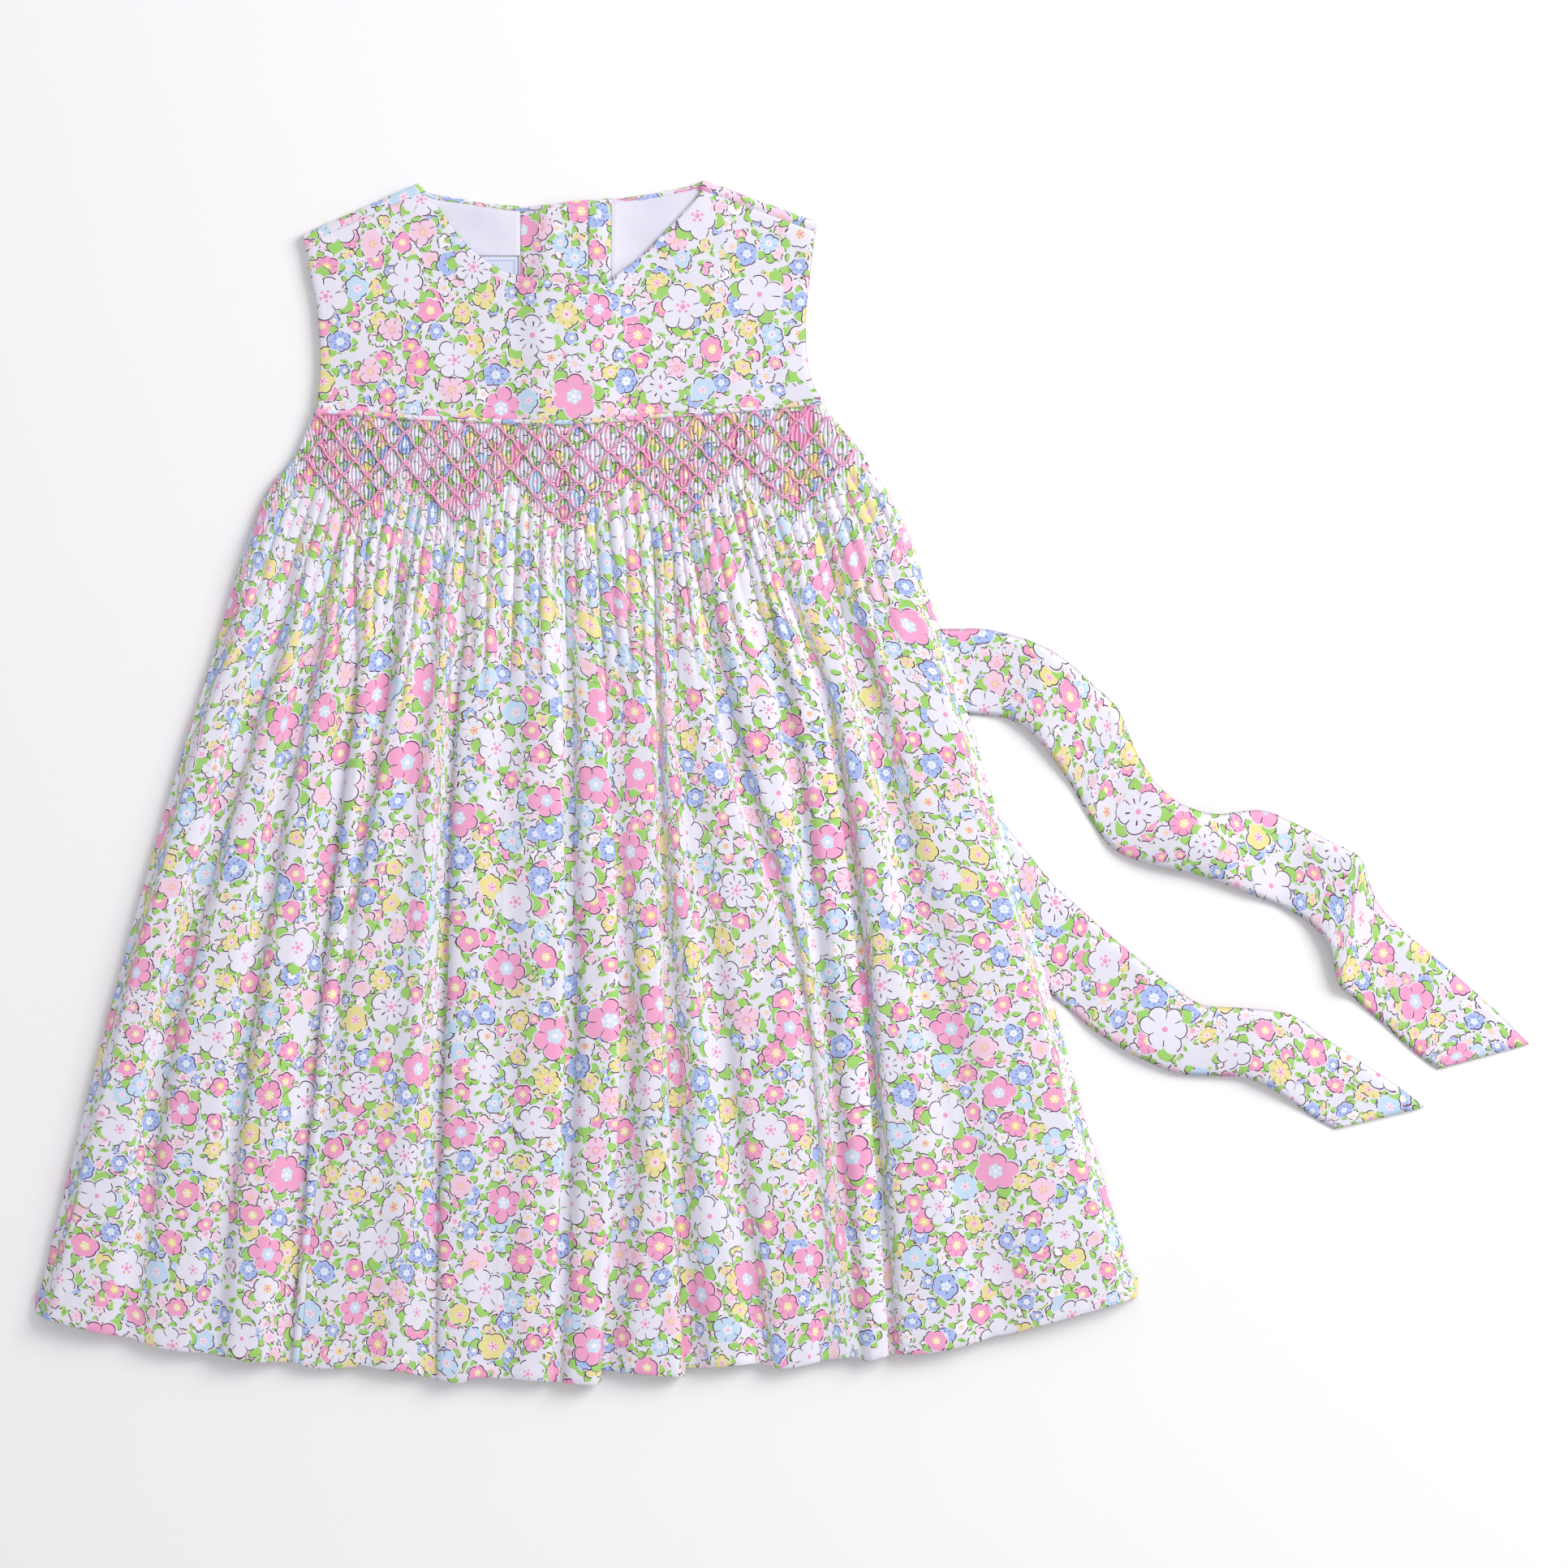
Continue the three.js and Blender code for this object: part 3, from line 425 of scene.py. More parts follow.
class Num:
    """A number in a node tree, worked on by Math nodes"""

    def __init__(self, tree, out):
        self.tree, self.out = tree, out

    def do(self, operation, *others, clamp=False):
        node = self.tree.nodes.new("ShaderNodeMath")
        node.operation, node.use_clamp = operation, clamp
        for k, value in enumerate((self, *others)):
            feed(self.tree, node.inputs[k], value)
        return Num(self.tree, node.outputs[0])

    __add__ = __radd__ = operator("ADD")
    __sub__ = operator("SUBTRACT")
    __mul__ = __rmul__ = both = operator("MULTIPLY")
    __truediv__ = operator("DIVIDE")
    under = operator("LESS_THAN")
    over = operator("GREATER_THAN")

    def ramp(self, low, high):
        scaled = self.do("MULTIPLY_ADD", 1 / (high - low), -low / (high - low))
        return scaled.do("MULTIPLY", 1.0, clamp=True)


def rgb(hex_code):
    channels = [int(hex_code[k:k + 2], 16) / 255 for k in (0, 2, 4)]
    return tuple(c / 12.92 if c <= 0.04045 else ((c + 0.055) / 1.055) ** 2.4 for c in channels) + (1.0,)


def mix(tree, factor, a, b):
    node = tree.nodes.new("ShaderNodeMix")
    node.data_type = "RGBA"
    for k, value in ((0, factor), (6, a), (7, b)):
        feed(tree, node.inputs[k], value)
    return node.outputs[2]


def chosen(tree, value, codes):
    """One of the colours by a number from 0 to 1; codes are (share, hex)"""
    node = tree.nodes.new("ShaderNodeValToRGB")
    node.color_ramp.interpolation = "CONSTANT"
    elements = node.color_ramp.elements
    elements[0].position, elements[0].color = 0.0, rgb(codes[0][1])
    elements.remove(elements[1])
    start = codes[0][0]
    for share, code in codes[1:]:
        elements.new(start).color = rgb(code)
        start += share
    tree.links.new(value.out, node.inputs[0])
    return node.outputs[0]


def combine(tree, x, y, z=0.0):
    node = tree.nodes.new("ShaderNodeCombineXYZ")
    for k, value in enumerate((x, y, z)):
        feed(tree, node.inputs[k], value)
    return node.outputs[0]


def white(tree, column, row, seed):
    """Three random numbers for a cell of a lattice"""
    node = tree.nodes.new("ShaderNodeTexWhiteNoise")
    node.noise_dimensions = "3D"
    tree.links.new(combine(tree, column, row, seed), node.inputs[0])
    split = tree.nodes.new("ShaderNodeSeparateColor")
    tree.links.new(node.outputs[1], split.inputs[0])
    return [Num(tree, split.outputs[k]) for k in range(3)]


# Thread pitches and depths of the weaves, a turn of the embroidery cotton and the label's stitching, in mm
PRINT_PITCH, LINING_PITCH, RIBBON_PITCH, WEAVE_DEPTH, RIBBON_DEPTH = 0.55, 0.6, 0.4, 0.05, 0.04
PLY_TURN, BORDER_INSET, STITCH_PITCH = 1.3, 2.6, 1.9

GROUND, PLUM, LEAF = "EAE8F4", "5A3550", "A4D870"
# The print's drawn lines, in mm: half the width of a leaf's outline, of its vein and of a flower's outline,
# and the plain rim that keeps a flower clear of what lies under it
LEAF_LINE, VEIN_LINE, FLOWER_LINE, HALO = 0.24, 0.16, 0.29, 0.6
# Colours of a flower's petals, each with its share of the flowers, then those of its heart and of its dots
LARGE = (((0.76, "EEECF8"), (0.24, "F8ABD0")), ("EEECF8", "D3E6F8"), ("F3A3C6", "FAF4FB"))
MEDIUM = (((0.31, "F8A8CE"), (0.19, "AFC4F5"), (0.14, "F8D3E6"), (0.14, "EFE49C"), (0.15, "C9E2F8"),
           (0.07, "EEECF8")),
          ("F9E58F", "FAF8FE", "F6B9D6", "FBE3EF", "EEF2FB", "F8E7A6"),
          ("FBF6FC", "C9E2F8", "F7E9A4", "F18FBC", "F8BBD6", "F08FBE"))
PALE = (((0.62, "EEECF8"), (0.38, "F6E6F1")), ("F8D3E6", "F6C3DC"), ("F9E08A", "F3A1C6"))
SMALL = (((0.34, "F9DCEA"), (0.22, "B4C8F6"), (0.18, "EFE6A6"), (0.14, "F7B2D3"), (0.12, "FBF9FE")),
         ("F6C3DC", "FAF8FE", "F9C9DC", "FBF0C0", "F7D7E6"),
         ("F9DCEA", "F9E9A0", "F3A1C6", "F9E08A", "F7E9A4"))
# Layers of flowers: the lattice's cell, turn and seed, the least and greatest radius, how far a flower
# strays, its petals, their notch, how far its leaves reach (0 is none), how many cells hold one, colours
FLOWERS = [
    (10.8, 0.35, 3.0, (2.6, 3.7), 1.7, (5, 6), 0.2, 1.5, 0.84, SMALL),
    (13.0, 1.31, 13.0, (3.4, 4.7), 2.4, (5, 7), 0.27, 0, 0.5, PALE),
    (15.5, -0.52, 5.0, (4.0, 5.2), 2.0, (5, 6), 0.2, 1.65, 0.82, MEDIUM),
    (22.0, 0.81, 7.0, (5.4, 7.0), 3.0, (5, 7), 0.18, 1.6, 0.76, MEDIUM),
    (38.0, -0.21, 11.0, (7.6, 11.4), 5.0, (5, 6), 0.3, 1.4, 0.85, LARGE),
]


def cell_of(tree, s, t, cell, turn, seed, jitter):
    """A turned brick lattice: six random numbers for the cell and the place from its motif's middle, in mm"""
    cos, sin = math.cos(turn), math.sin(turn)
    x, y = s * (cos / cell) + t * (sin / cell), t * (cos / cell) + s * (-sin / cell)
    row = y.do("FLOOR")
    x = x + row * 0.5 + seed * 0.37
    column = x.do("FLOOR")
    numbers = [*white(tree, column, row, seed), *white(tree, column, row, seed + 17.0)]
    px = (x.do("FRACT") + -0.5) * cell + (numbers[0] + -0.5) * (2 * jitter)
    py = (y.do("FRACT") + -0.5) * cell + (numbers[1] + -0.5) * (2 * jitter)
    return numbers, px, py


def leaf_layer(tree, s, t, under, cell, turn, seed, length, jitter, share):
    """Single leaves strewn between the flowers, some with a loose outline"""
    (_, _, r3, r4, r5, r6), px, py = cell_of(tree, s, t, cell, turn, seed, jitter)
    away = (px * px + py * py).do("SQRT")
    angle = py.do("ARCTAN2", px) + r4 * TAU
    along, across = away * angle.do("COSINE"), away * angle.do("SINE")
    size = r3 * (length[1] - length[0]) + length[0]
    part = (along / size).ramp(-1.0, 1.0)
    half = (part.do("POWER", 0.8) * math.pi).do("SINE") * size * 0.46
    away_from_rim = (across + along * along * 0.06).do("ABSOLUTE") - half
    present = r6.under(share)
    colour = mix(tree, away_from_rim.under(0.0).both(present), under, rgb(LEAF))
    outline = (away_from_rim + -0.2).do("ABSOLUTE").under(LEAF_LINE).both(across.over(0.1)).both(present)
    ends = part.over(0.06).both(part.under(0.96)).both(r5.over(0.45))
    vein = across.do("ABSOLUTE").under(VEIN_LINE).both(part.over(0.3)).both(part.under(0.62)).both(present)
    colour = mix(tree, vein.both(r5.under(0.5)), colour, rgb(PLUM))
    return mix(tree, outline.both(ends), colour, rgb(PLUM))


def flower_layer(tree, s, t, under, cell, turn, seed, radius, jitter, petals, notch, leaves, share, colours):
    """One scattered layer of flowers with leaves over the colour under it; s and t in mm"""
    (r1, r2, r3, r4, r5, r6), px, py = cell_of(tree, s, t, cell, turn, seed, jitter)
    size = r3 * (radius[1] - radius[0]) + radius[0]
    spin = r4 * TAU
    count = (r5 * (petals[1] - petals[0] + 0.999) + petals[0]).do("FLOOR")

    def rim(dx, dy):
        qx, qy = px + dx, py + dy
        away = (qx * qx + qy * qy).do("SQRT")
        angle = qy.do("ARCTAN2", qx) + spin
        lobe = (angle * count * 0.5).do("COSINE").do("ABSOLUTE").do("POWER", 0.6)
        lean = (angle * 2.0 + r1 * 9.0).do("SINE") * 0.07 + (angle * 3.0 + r2 * 8.0).do("SINE") * 0.05
        return away, angle, size * (lobe * notch + lean + (1 - notch))

    away, angle, edge = rim(0.0, 0.0)
    away2, angle2, edge2 = rim(0.42, -0.34)
    present = r6.under(share)
    inside = (away - edge).under(0.0).both(present)
    halo = (away - edge).under(HALO).both(present)
    colour = under
    if leaves:
        sector = ((angle + r1 * 5.0) * (3 / TAU)).do("FRACT")
        turned = (sector + -0.5) * (TAU / 3)
        along = away * turned.do("COSINE") / size
        across = away * turned.do("SINE")
        part = along.ramp(0.7, leaves)
        half = (part * math.pi).do("SINE") * size * 0.36
        from_rim = across.do("ABSOLUTE") - half
        shown = part.over(0.01).both(present)
        colour = mix(tree, from_rim.under(0.0).both(shown), colour, rgb(LEAF))
        line = (from_rim + -0.15).do("ABSOLUTE").under(LEAF_LINE).both(across.over(0.0)).both(part.over(0.3))
        colour = mix(tree, line.both(part.under(0.97)).both(shown), colour, rgb(PLUM))
    colour = mix(tree, halo, colour, rgb(GROUND))
    shares, hearts, dots = colours
    heart_rows = [(row[0], code) for row, code in zip(shares, hearts)]
    dot_rows = [(row[0], code) for row, code in zip(shares, dots)]
    out, near = away / edge, away / size
    colour = mix(tree, inside, colour, chosen(tree, r2, shares))
    colour = mix(tree, (near + (angle * count).do("SINE") * 0.035).under(0.34).both(present), colour,
                 chosen(tree, r2, heart_rows))
    colour = mix(tree, near.under(0.12).both(present), colour, chosen(tree, r2, dot_rows))
    beads = (near + -0.24).do("ABSOLUTE").under(0.06).both((angle * 5.0 + r1 * 6.0).do("SINE").over(0.1))
    colour = mix(tree, beads.both(r1.over(0.3)).both(present), colour, chosen(tree, r2, dot_rows))
    strokes = (angle * count * 0.5).do("SINE").do("ABSOLUTE").under(0.17).both(near.over(0.38)).both(
        near.under(0.6)).both(r2.over(0.31)).both(r2.under(0.5)).both(present)
    colour = mix(tree, strokes, colour, rgb(PLUM))
    line = (away2 - edge2).do("ABSOLUTE").under(FLOWER_LINE).both(present)
    arc = (angle2 * count * (1 / TAU)).do("FLOOR") * 2.4 + r3 * 20.0
    dash = (angle2 * 2.7 + r3 * 31.0).do("SINE").over(-0.84).both(arc.do("SINE").over(-0.6))
    crease = (angle2 * count * 0.5).do("COSINE").do("ABSOLUTE").under(0.09).both(
        out.over(0.6)).both(out.under(0.98)).both(r1.under(0.6)).both(present)
    colour = mix(tree, crease, colour, rgb(PLUM))
    return mix(tree, line.both(dash), colour, rgb(PLUM))


def principled(name, roughness, sheen=0.0):
    material = bpy.data.materials.new(name)
    material.use_nodes = True
    tree = material.node_tree
    shader = tree.nodes["Principled BSDF"]
    shader.inputs["Roughness"].default_value = roughness
    shader.inputs["Specular IOR Level"].default_value = 0.25
    shader.inputs["Sheen Weight"].default_value = sheen
    shader.inputs["Sheen Roughness"].default_value = 0.5
    return material, tree, shader


def cloth_coordinates(tree):
    uv = tree.nodes.new("ShaderNodeUVMap")
    uv.uv_map = "cloth"
    split = tree.nodes.new("ShaderNodeSeparateXYZ")
    tree.links.new(uv.outputs[0], split.inputs[0])
    return Num(tree, split.outputs[0]) * 1000.0, Num(tree, split.outputs[1]) * 1000.0


def noise(tree, s, t, scale, detail=2.0):
    node = tree.nodes.new("ShaderNodeTexNoise")
    node.inputs["Scale"].default_value = 1.0
    node.inputs["Detail"].default_value = detail
    tree.links.new(combine(tree, s * scale, t * scale), node.inputs["Vector"])
    return Num(tree, node.outputs[0])


def relief(tree, shader, height, strength, depth):
    bump = tree.nodes.new("ShaderNodeBump")
    bump.inputs["Strength"].default_value = strength
    bump.inputs["Distance"].default_value = depth * MM
    feed(tree, bump.inputs["Height"], height)
    tree.links.new(bump.outputs[0], shader.inputs["Normal"])


def weave(tree, shader, s, t, pitch, depth):
    """Plain weave relief of the given thread pitch and depth, in mm"""
    threads = (s * (TAU / pitch)).do("SINE") * (t * (TAU / pitch)).do("SINE")
    relief(tree, shader, threads * 0.5 + noise(tree, s, t, 0.9) * 0.9, 0.5, depth)


def floral_cotton():
    material, tree, shader = principled("floral_cotton", 0.86, 0.08)
    s, t = cloth_coordinates(tree)
    drift = noise(tree, s, t, 0.03)
    sw, tw = s + (drift + -0.5) * 3.0, t + (noise(tree, t, s, 0.027) + -0.5) * 3.0
    colour = rgb(GROUND)
    colour = leaf_layer(tree, sw, tw, colour, 7.4, 1.02, 2.0, (2.0, 3.1), 1.4, 0.72)
    for layer in FLOWERS:
        colour = flower_layer(tree, sw, tw, colour, *layer)
    shade = noise(tree, s, t, 0.8, 3.0).ramp(0.2, 0.9)
    colour = mix(tree, shade * 0.06, colour, rgb("B9B2CC"))
    tree.links.new(colour, shader.inputs["Base Color"])
    weave(tree, shader, s, t, PRINT_PITCH, WEAVE_DEPTH)
    return material


def lining_cotton():
    material, tree, shader = principled("lining_cotton", 0.9, 0.08)
    s, t = cloth_coordinates(tree)
    # Painted shade: soft noise patches darkened from F0EEF9 toward DCDBEE stand in for the shading of the
    # lining's soft folds
    soft = noise(tree, s, t, 0.035).ramp(0.3, 0.7)
    grain = noise(tree, s, t, 1.6, 3.0).ramp(0.3, 0.8)
    colour = mix(tree, soft * 0.75, rgb("F0EEF9"), rgb("DCDBEE"))
    colour = mix(tree, grain * 0.12, colour, rgb("CFCFE2"))
    tree.links.new(colour, shader.inputs["Base Color"])
    weave(tree, shader, s, t, LINING_PITCH, WEAVE_DEPTH)
    return material


def label_ribbon():
    material, tree, shader = principled("label_ribbon", 0.6, 0.15)
    s, t = cloth_coordinates(tree)
    wide, tall = LABEL_TO[0] - LABEL_FROM[0], LABEL_TO[1] - LABEL_FROM[1]
    from_side = (s + -wide / 2).do("ABSOLUTE") * -1.0 + wide / 2
    from_end = (t + -tall / 2).do("ABSOLUTE") * -1.0 + tall / 2
    nearest = from_side.do("MINIMUM", from_end)
    border = (nearest + -BORDER_INSET).do("ABSOLUTE").under(0.22)
    stitched = (s * (TAU / STITCH_PITCH)).do("SINE").over(-0.1)
    dots = (t + -(tall - BORDER_INSET / 2)).do("ABSOLUTE").under(0.35).both(stitched)
    colour = mix(tree, noise(tree, s, t, 1.4).ramp(0.3, 0.7) * 0.5, rgb("DCE3F6"), rgb("CFD9F1"))
    colour = mix(tree, border, colour, rgb("9DB6E4"))
    colour = mix(tree, dots, colour, rgb("FFFFFF"))
    tree.links.new(colour, shader.inputs["Base Color"])
    weave(tree, shader, s, t, RIBBON_PITCH, RIBBON_DEPTH)
    return material


def mottled(name, roughness, scale, spread, light, dark):
    """A plain material whose colour drifts softly between two"""
    material, tree, shader = principled(name, roughness)
    place = tree.nodes.new("ShaderNodeTexCoord")
    cloudy = tree.nodes.new("ShaderNodeTexNoise")
    cloudy.inputs["Scale"].default_value = scale
    tree.links.new(place.outputs["Object"], cloudy.inputs["Vector"])
    colour = mix(tree, Num(tree, cloudy.outputs[0]).ramp(*spread), light, dark)
    tree.links.new(colour, shader.inputs["Base Color"])
    return material


def thread_cotton(name, light, dark):
    """Twisted embroidery cotton with painted shade in the grooves between its plies and a painted highlight
    on their crests; s runs along the strand and t around it, in mm
    """
    material, tree, shader = principled(name, 0.55, 0.2)
    s, t = cloth_coordinates(tree)
    twist = (s * (TAU / PLY_TURN) + t * TAU).do("SINE").ramp(-1.0, 1.0)
    # Painted shade and highlight: the twist that raises the plies also colours their grooves dark and their
    # crests light
    colour = mix(tree, twist, rgb(dark), rgb(light))
    tree.links.new(colour, shader.inputs["Base Color"])
    relief(tree, shader, twist, 0.6, 0.08)
    return material


FLORAL = floral_cotton()
LINING = lining_cotton()
RIBBON = label_ribbon()
RESIN = mottled("button_resin", 0.28, 260.0, (0.35, 0.7), rgb("F7F4EF"), rgb("E9E4EE"))
PINK_THREAD = thread_cotton("pink_thread", "FFC4E2", "FFA4D0")
PAPER = mottled("studio_floor", 0.9, 30.0, (0.0, 1.0), (0.985, 0.985, 0.985, 1), (0.995, 0.995, 0.995, 1))


# Front of the skirt: stations across a space, closer at its sides
STATIONS = np.arange(36) / 36
STATIONS = STATIONS - 0.5 * np.sin(TAU * STATIONS) / TAU


def space_cuts():
    """The flat cloth between neighbouring valleys: what shows where it is widest, and what the folds hide"""
    cuts = np.zeros(SPACES)
    for v in np.linspace(0.3, 1.0, 15):
        share, deep, wide, _ = widths(np.array(v))
        cuts = np.maximum(cuts, wide * 1.03 + HIDDEN_CLOTH * (deep[:-1] + deep[1:]) / 2)
    return cuts


CUTS = space_cuts()
HEM_X = lerp(*skirt_edges(1.0), widths(np.array(1.0))[0])
CUT_STARTS = np.concatenate([[0], np.cumsum(CUTS)])
CUT_WIDTH = CUTS.sum()

# A pleat's section, at shares of its pitch: its height and the cloth used so far
PLEAT_SAMPLES = np.array([-0.5, -1 / 3, -1 / 6, 0, 1 / 6, 1 / 3])
PLEAT_SHAPE = np.array([0, 0.60, 0.92, 1, 0.92, 0.60])
PLEAT_CLOTH = np.array([0, 0.30, 0.43, 0.5, 0.57, 0.70])
BAND_D_FROM = -1.75
CLOTH_PER_D = CUT_WIDTH * PLEATS_A_DIAMOND / PLEATS
# How the front rolls at its sides, as out and down, and at its hem, as out, down and cloth used
SIDE_OUT, SIDE_DOWN = np.array([0.5, 0.8, 0.8, 0.4]), np.array([0.8, 1.8, 2.7, 3.2])
SIDE_STEPS = np.array([1, 2, 3, 4])
HEM_ROLL = ((0.45, 0.35, 0.6), (0.5, 0.9, 1.2), (-0.2, 1.25, 1.9), (-4.5, 1.35, 6.0), (-9.0, 1.3, 10.5))


def zigzag_depth(d):
    """How deep the smocking reaches at d: to its last level at its points, less deep between them"""
    share = 1 - np.abs(np.mod(d - 0.5, 4) / 2 - 1)
    return np.interp(FULL_LEVEL + (TIP_LEVEL - FULL_LEVEL) * share, np.arange(len(LEVELS)), LEVELS)


def pinch(d, depth):
    """How the threads draw the pleats together at each crossing, in diamonds"""
    level = np.interp(depth, LEVELS, np.arange(len(LEVELS)))
    held = 1 - smooth(depth, zigzag_depth(d), zigzag_depth(d) + 10)
    return -PINCH / PLEATS_A_DIAMOND * np.sin(TAU * d) * np.cos(math.pi * level) * held


def band_cloth(d):
    """The cloth used from the left as far as diamond d"""
    return (d - BAND_D_FROM) * CLOTH_PER_D


def base_lift(u, v, x, y):
    """Height of the cloth by folds and gathers, without pleats"""
    i, t = space_of(u, v)
    reach = zigzag_depth(lattice_d(x))
    free = smooth(v * SKIRT_DROP, reach + 2, reach + 14)
    lift = np.zeros_like(u)
    for k in range(SPACES):
        at = i == k
        if at.any():
            fold, _ = fold_lift(k, t[at], np.full(at.sum(), v))
            lift[at] = fold + free[at] * gathers(k, t[at], np.full(at.sum(), v))
    return lift + bulge_below_seam(x, y) + wander(x, y) * smooth(v, 0.1, 0.25)


def band_row(depth):
    """One row of smocked cloth: at (diamonds), points and cloth coordinates"""
    v = depth / SKIRT_DROP
    left, right = skirt_edges(v)
    pleat = np.repeat(np.arange(PLEATS), len(PLEAT_SAMPLES))
    d = BAND_D_FROM + (pleat + np.tile(PLEAT_SAMPLES, PLEATS) + 0.5) / PLEATS_A_DIAMOND
    cloth = (pleat + np.tile(PLEAT_CLOTH, PLEATS)) / PLEATS_A_DIAMOND * CLOTH_PER_D
    x = lattice_x(d + pinch(d, depth))
    keep = (x > left + 0.7) & (x < right - 0.7)
    d_left, d_right = lattice_d(left), lattice_d(right)
    d = np.concatenate([[d_left], d[keep], [d_right]])
    x = np.concatenate([[left], x[keep], [right]])
    shape = np.concatenate([[0], np.tile(PLEAT_SHAPE, PLEATS)[keep], [0]])
    cloth = np.concatenate([[band_cloth(d_left)], cloth[keep], [band_cloth(d_right)]])
    u = (x - left) / (right - left)
    y = skirt_fall(u, v)
    uneven = 0.85 + 0.3 * np.sin(np.floor((d - BAND_D_FROM) * PLEATS_A_DIAMOND + 0.5) * 2.4) ** 2
    held = 1 - smooth(depth, zigzag_depth(d) - 1, zigzag_depth(d) + 12)
    near_edge = smooth(x, left, left + 8) * (1 - smooth(x, right - 8, right))
    tall = PLEAT_HEIGHT * lerp(0.45, 1, smooth(depth, 0, 3)) * held * uneven * lerp(0.35, 1, near_edge)
    z = SKIRT_REST + CLOTH + shape * tall + base_lift(u, v, x, y)
    hanging_x, hanging = hanging_cloth(v)
    cloth = lerp(cloth, np.interp(x, hanging_x, hanging), smooth(depth, zigzag_depth(d) + 1, BAND_DEPTH - 3))
    return d, np.stack([x, y, z], 1), np.stack([cloth, np.full_like(x, depth)], 1)


def cloth_along(i, t, v, fold, wide, start, end):
    """Cloth coordinates of stations t: level cloth lies as printed, the rest goes into valleys and sides"""
    dx = np.diff(t) * wide
    gather = gathers(i, t, v)
    steep = (np.diff(fold) ** 2 + np.diff(gather) ** 2) / dx + 0.004 * dx
    excess = end - start - wide
    if excess < 0:
        return start + t * (end - start)
    steps = dx + excess * steep / steep.sum()
    return start + np.concatenate([[0], np.cumsum(steps)])


def hanging_space(i, v, share, wide, left, right):
    """Stations of a space: their x without lean, lift and lean by the folds, and cloth coordinates"""
    t = np.concatenate([STATIONS, [1.0]])
    x = lerp(left, right, lerp(share[i], share[i + 1], t))
    fold, lean = fold_lift(i, t, np.full(t.shape, v))
    free = smooth(v, 0.12, 0.30)
    start = lerp(band_cloth(lattice_d(x[0])), CUT_STARTS[i], free)
    end = lerp(band_cloth(lattice_d(x[-1])), CUT_STARTS[i + 1], free)
    return t, x, fold, lean, cloth_along(i, t, v, fold, wide[i], start, end)


def hanging_cloth(v):
    """x and cloth coordinate along one row"""
    left, right = skirt_edges(v)
    share, _, wide, _ = widths(np.array(v))
    parts = [hanging_space(i, v, share, wide, left, right) for i in range(SPACES)]
    return np.concatenate([part[1][:-1] for part in parts]), np.concatenate([part[4][:-1] for part in parts])


def skirt_row(v):
    """One row of the hanging cloth, all spaces with the same number of stations"""
    left, right = skirt_edges(v)
    share, _, wide, _ = widths(np.array(v))
    xs, ys, zs, cloths = [], [], [], []
    for i in range(SPACES):
        t, x, fold, lean, cloth = hanging_space(i, v, share, wide, left, right)
        y = skirt_fall(lerp(share[i], share[i + 1], t), v)
        if i in FALLS:
            droop = FALLS[i](lerp(HEM_X[i], HEM_X[i + 1], t))
        else:
            droop = EDGES[i][2] * np.sin(math.pi * t ** LEANS.get(i, SKEW))
        y = y - droop * v ** 6
        stop = None if i == SPACES - 1 else -1
        xs.append((x + lean * smooth(v, 0.13, 0.3))[:stop])
        ys.append(y[:stop])
        zs.append((fold + gathers(i, t, v))[:stop])
        cloths.append(cloth[:stop])
    x, y, z, cloth = (np.concatenate(part) for part in (xs, ys, zs, cloths))
    z = z + SKIRT_REST + CLOTH + bulge_below_seam(x, y) + wander(x, y) * smooth(v, 0.1, 0.25)
    return np.stack([x, y, z], 1), np.stack([cloth, np.full_like(x, v * SKIRT_DROP)], 1)


def rounded_side(points, uvs, side):
    """Adds the roll of the side edge, from the cloth's edge down to the back panel"""
    edge, uv = (points[0], uvs[0]) if side < 0 else (points[-1], uvs[-1])
    drop = np.minimum(SIDE_DOWN, 0.98 * (edge[2] - 1.0))
    ring = np.stack([edge[0] + side * SIDE_OUT, np.full(4, edge[1]), edge[2] - drop], 1)
    ring_uv = np.stack([uv[0] + side * (0.7 + SIDE_DOWN), np.full(4, uv[1])], 1)
    if side < 0:
        return np.concatenate([ring[::-1], points]), np.concatenate([ring_uv[::-1], uvs])
    return np.concatenate([points, ring]), np.concatenate([uvs, ring_uv])


def with_sides(points, uvs):
    return rounded_side(*rounded_side(points, uvs, -1), 1)


def beside(at, step):
    """The places along a row, with four more past each end for its rolled sides"""
    return np.concatenate([at[0] - SIDE_STEPS[::-1] * step, at, at[-1] + SIDE_STEPS * step])


def skirt_front():
    build = Build()
    depths = np.concatenate([[-0.8, 0.3, 1.4, 2.6], np.arange(4.0, BAND_DEPTH - 1, 1.79), [BAND_DEPTH]])
    last = last_at = None
    for depth in depths:
        d, points, uvs = band_row(depth)
        at, x = beside(d, 1e-3), points[:, 0]
        index = build.row(*with_sides(points, uvs))
        if last is not None:
            build.zip_rows(last, last_at, index, at)
        last, last_at = index, at
    top = BAND_DEPTH / SKIRT_DROP
    rows = np.concatenate([np.arange(top + 0.006, 0.36, 0.0068), np.linspace(0.37, 0.985, 42), [0.994, 1.0]])
    for k, v in enumerate(rows):
        points, uvs = with_sides(*skirt_row(v))
        index = build.row(points, uvs)
        if k == 0:
            at = np.maximum.accumulate(beside(points[4:-4, 0], 1e-2))
            build.zip_rows(last, beside(x, 1e-2), index, at)
        else:
            build.quads(last, index)
        last = index
    for out, down, run in HEM_ROLL:
        ring = points + np.array([0, -out, 0])
        ring[:, 2] -= np.minimum(down, 0.9 * (points[:, 2] - 0.6))
        index = build.row(ring, uvs + np.array([0, run]))
        build.quads(last, index)
        last = index
    return build.piece("skirt_front_cloth", FLORAL)


# Flat panels
def edged(count, inset):
    """Shares from 0 to 1 with one more just inside each end"""
    return np.concatenate([[0, inset], np.linspace(0, 1, count)[1:-1], [1 - inset, 1]])


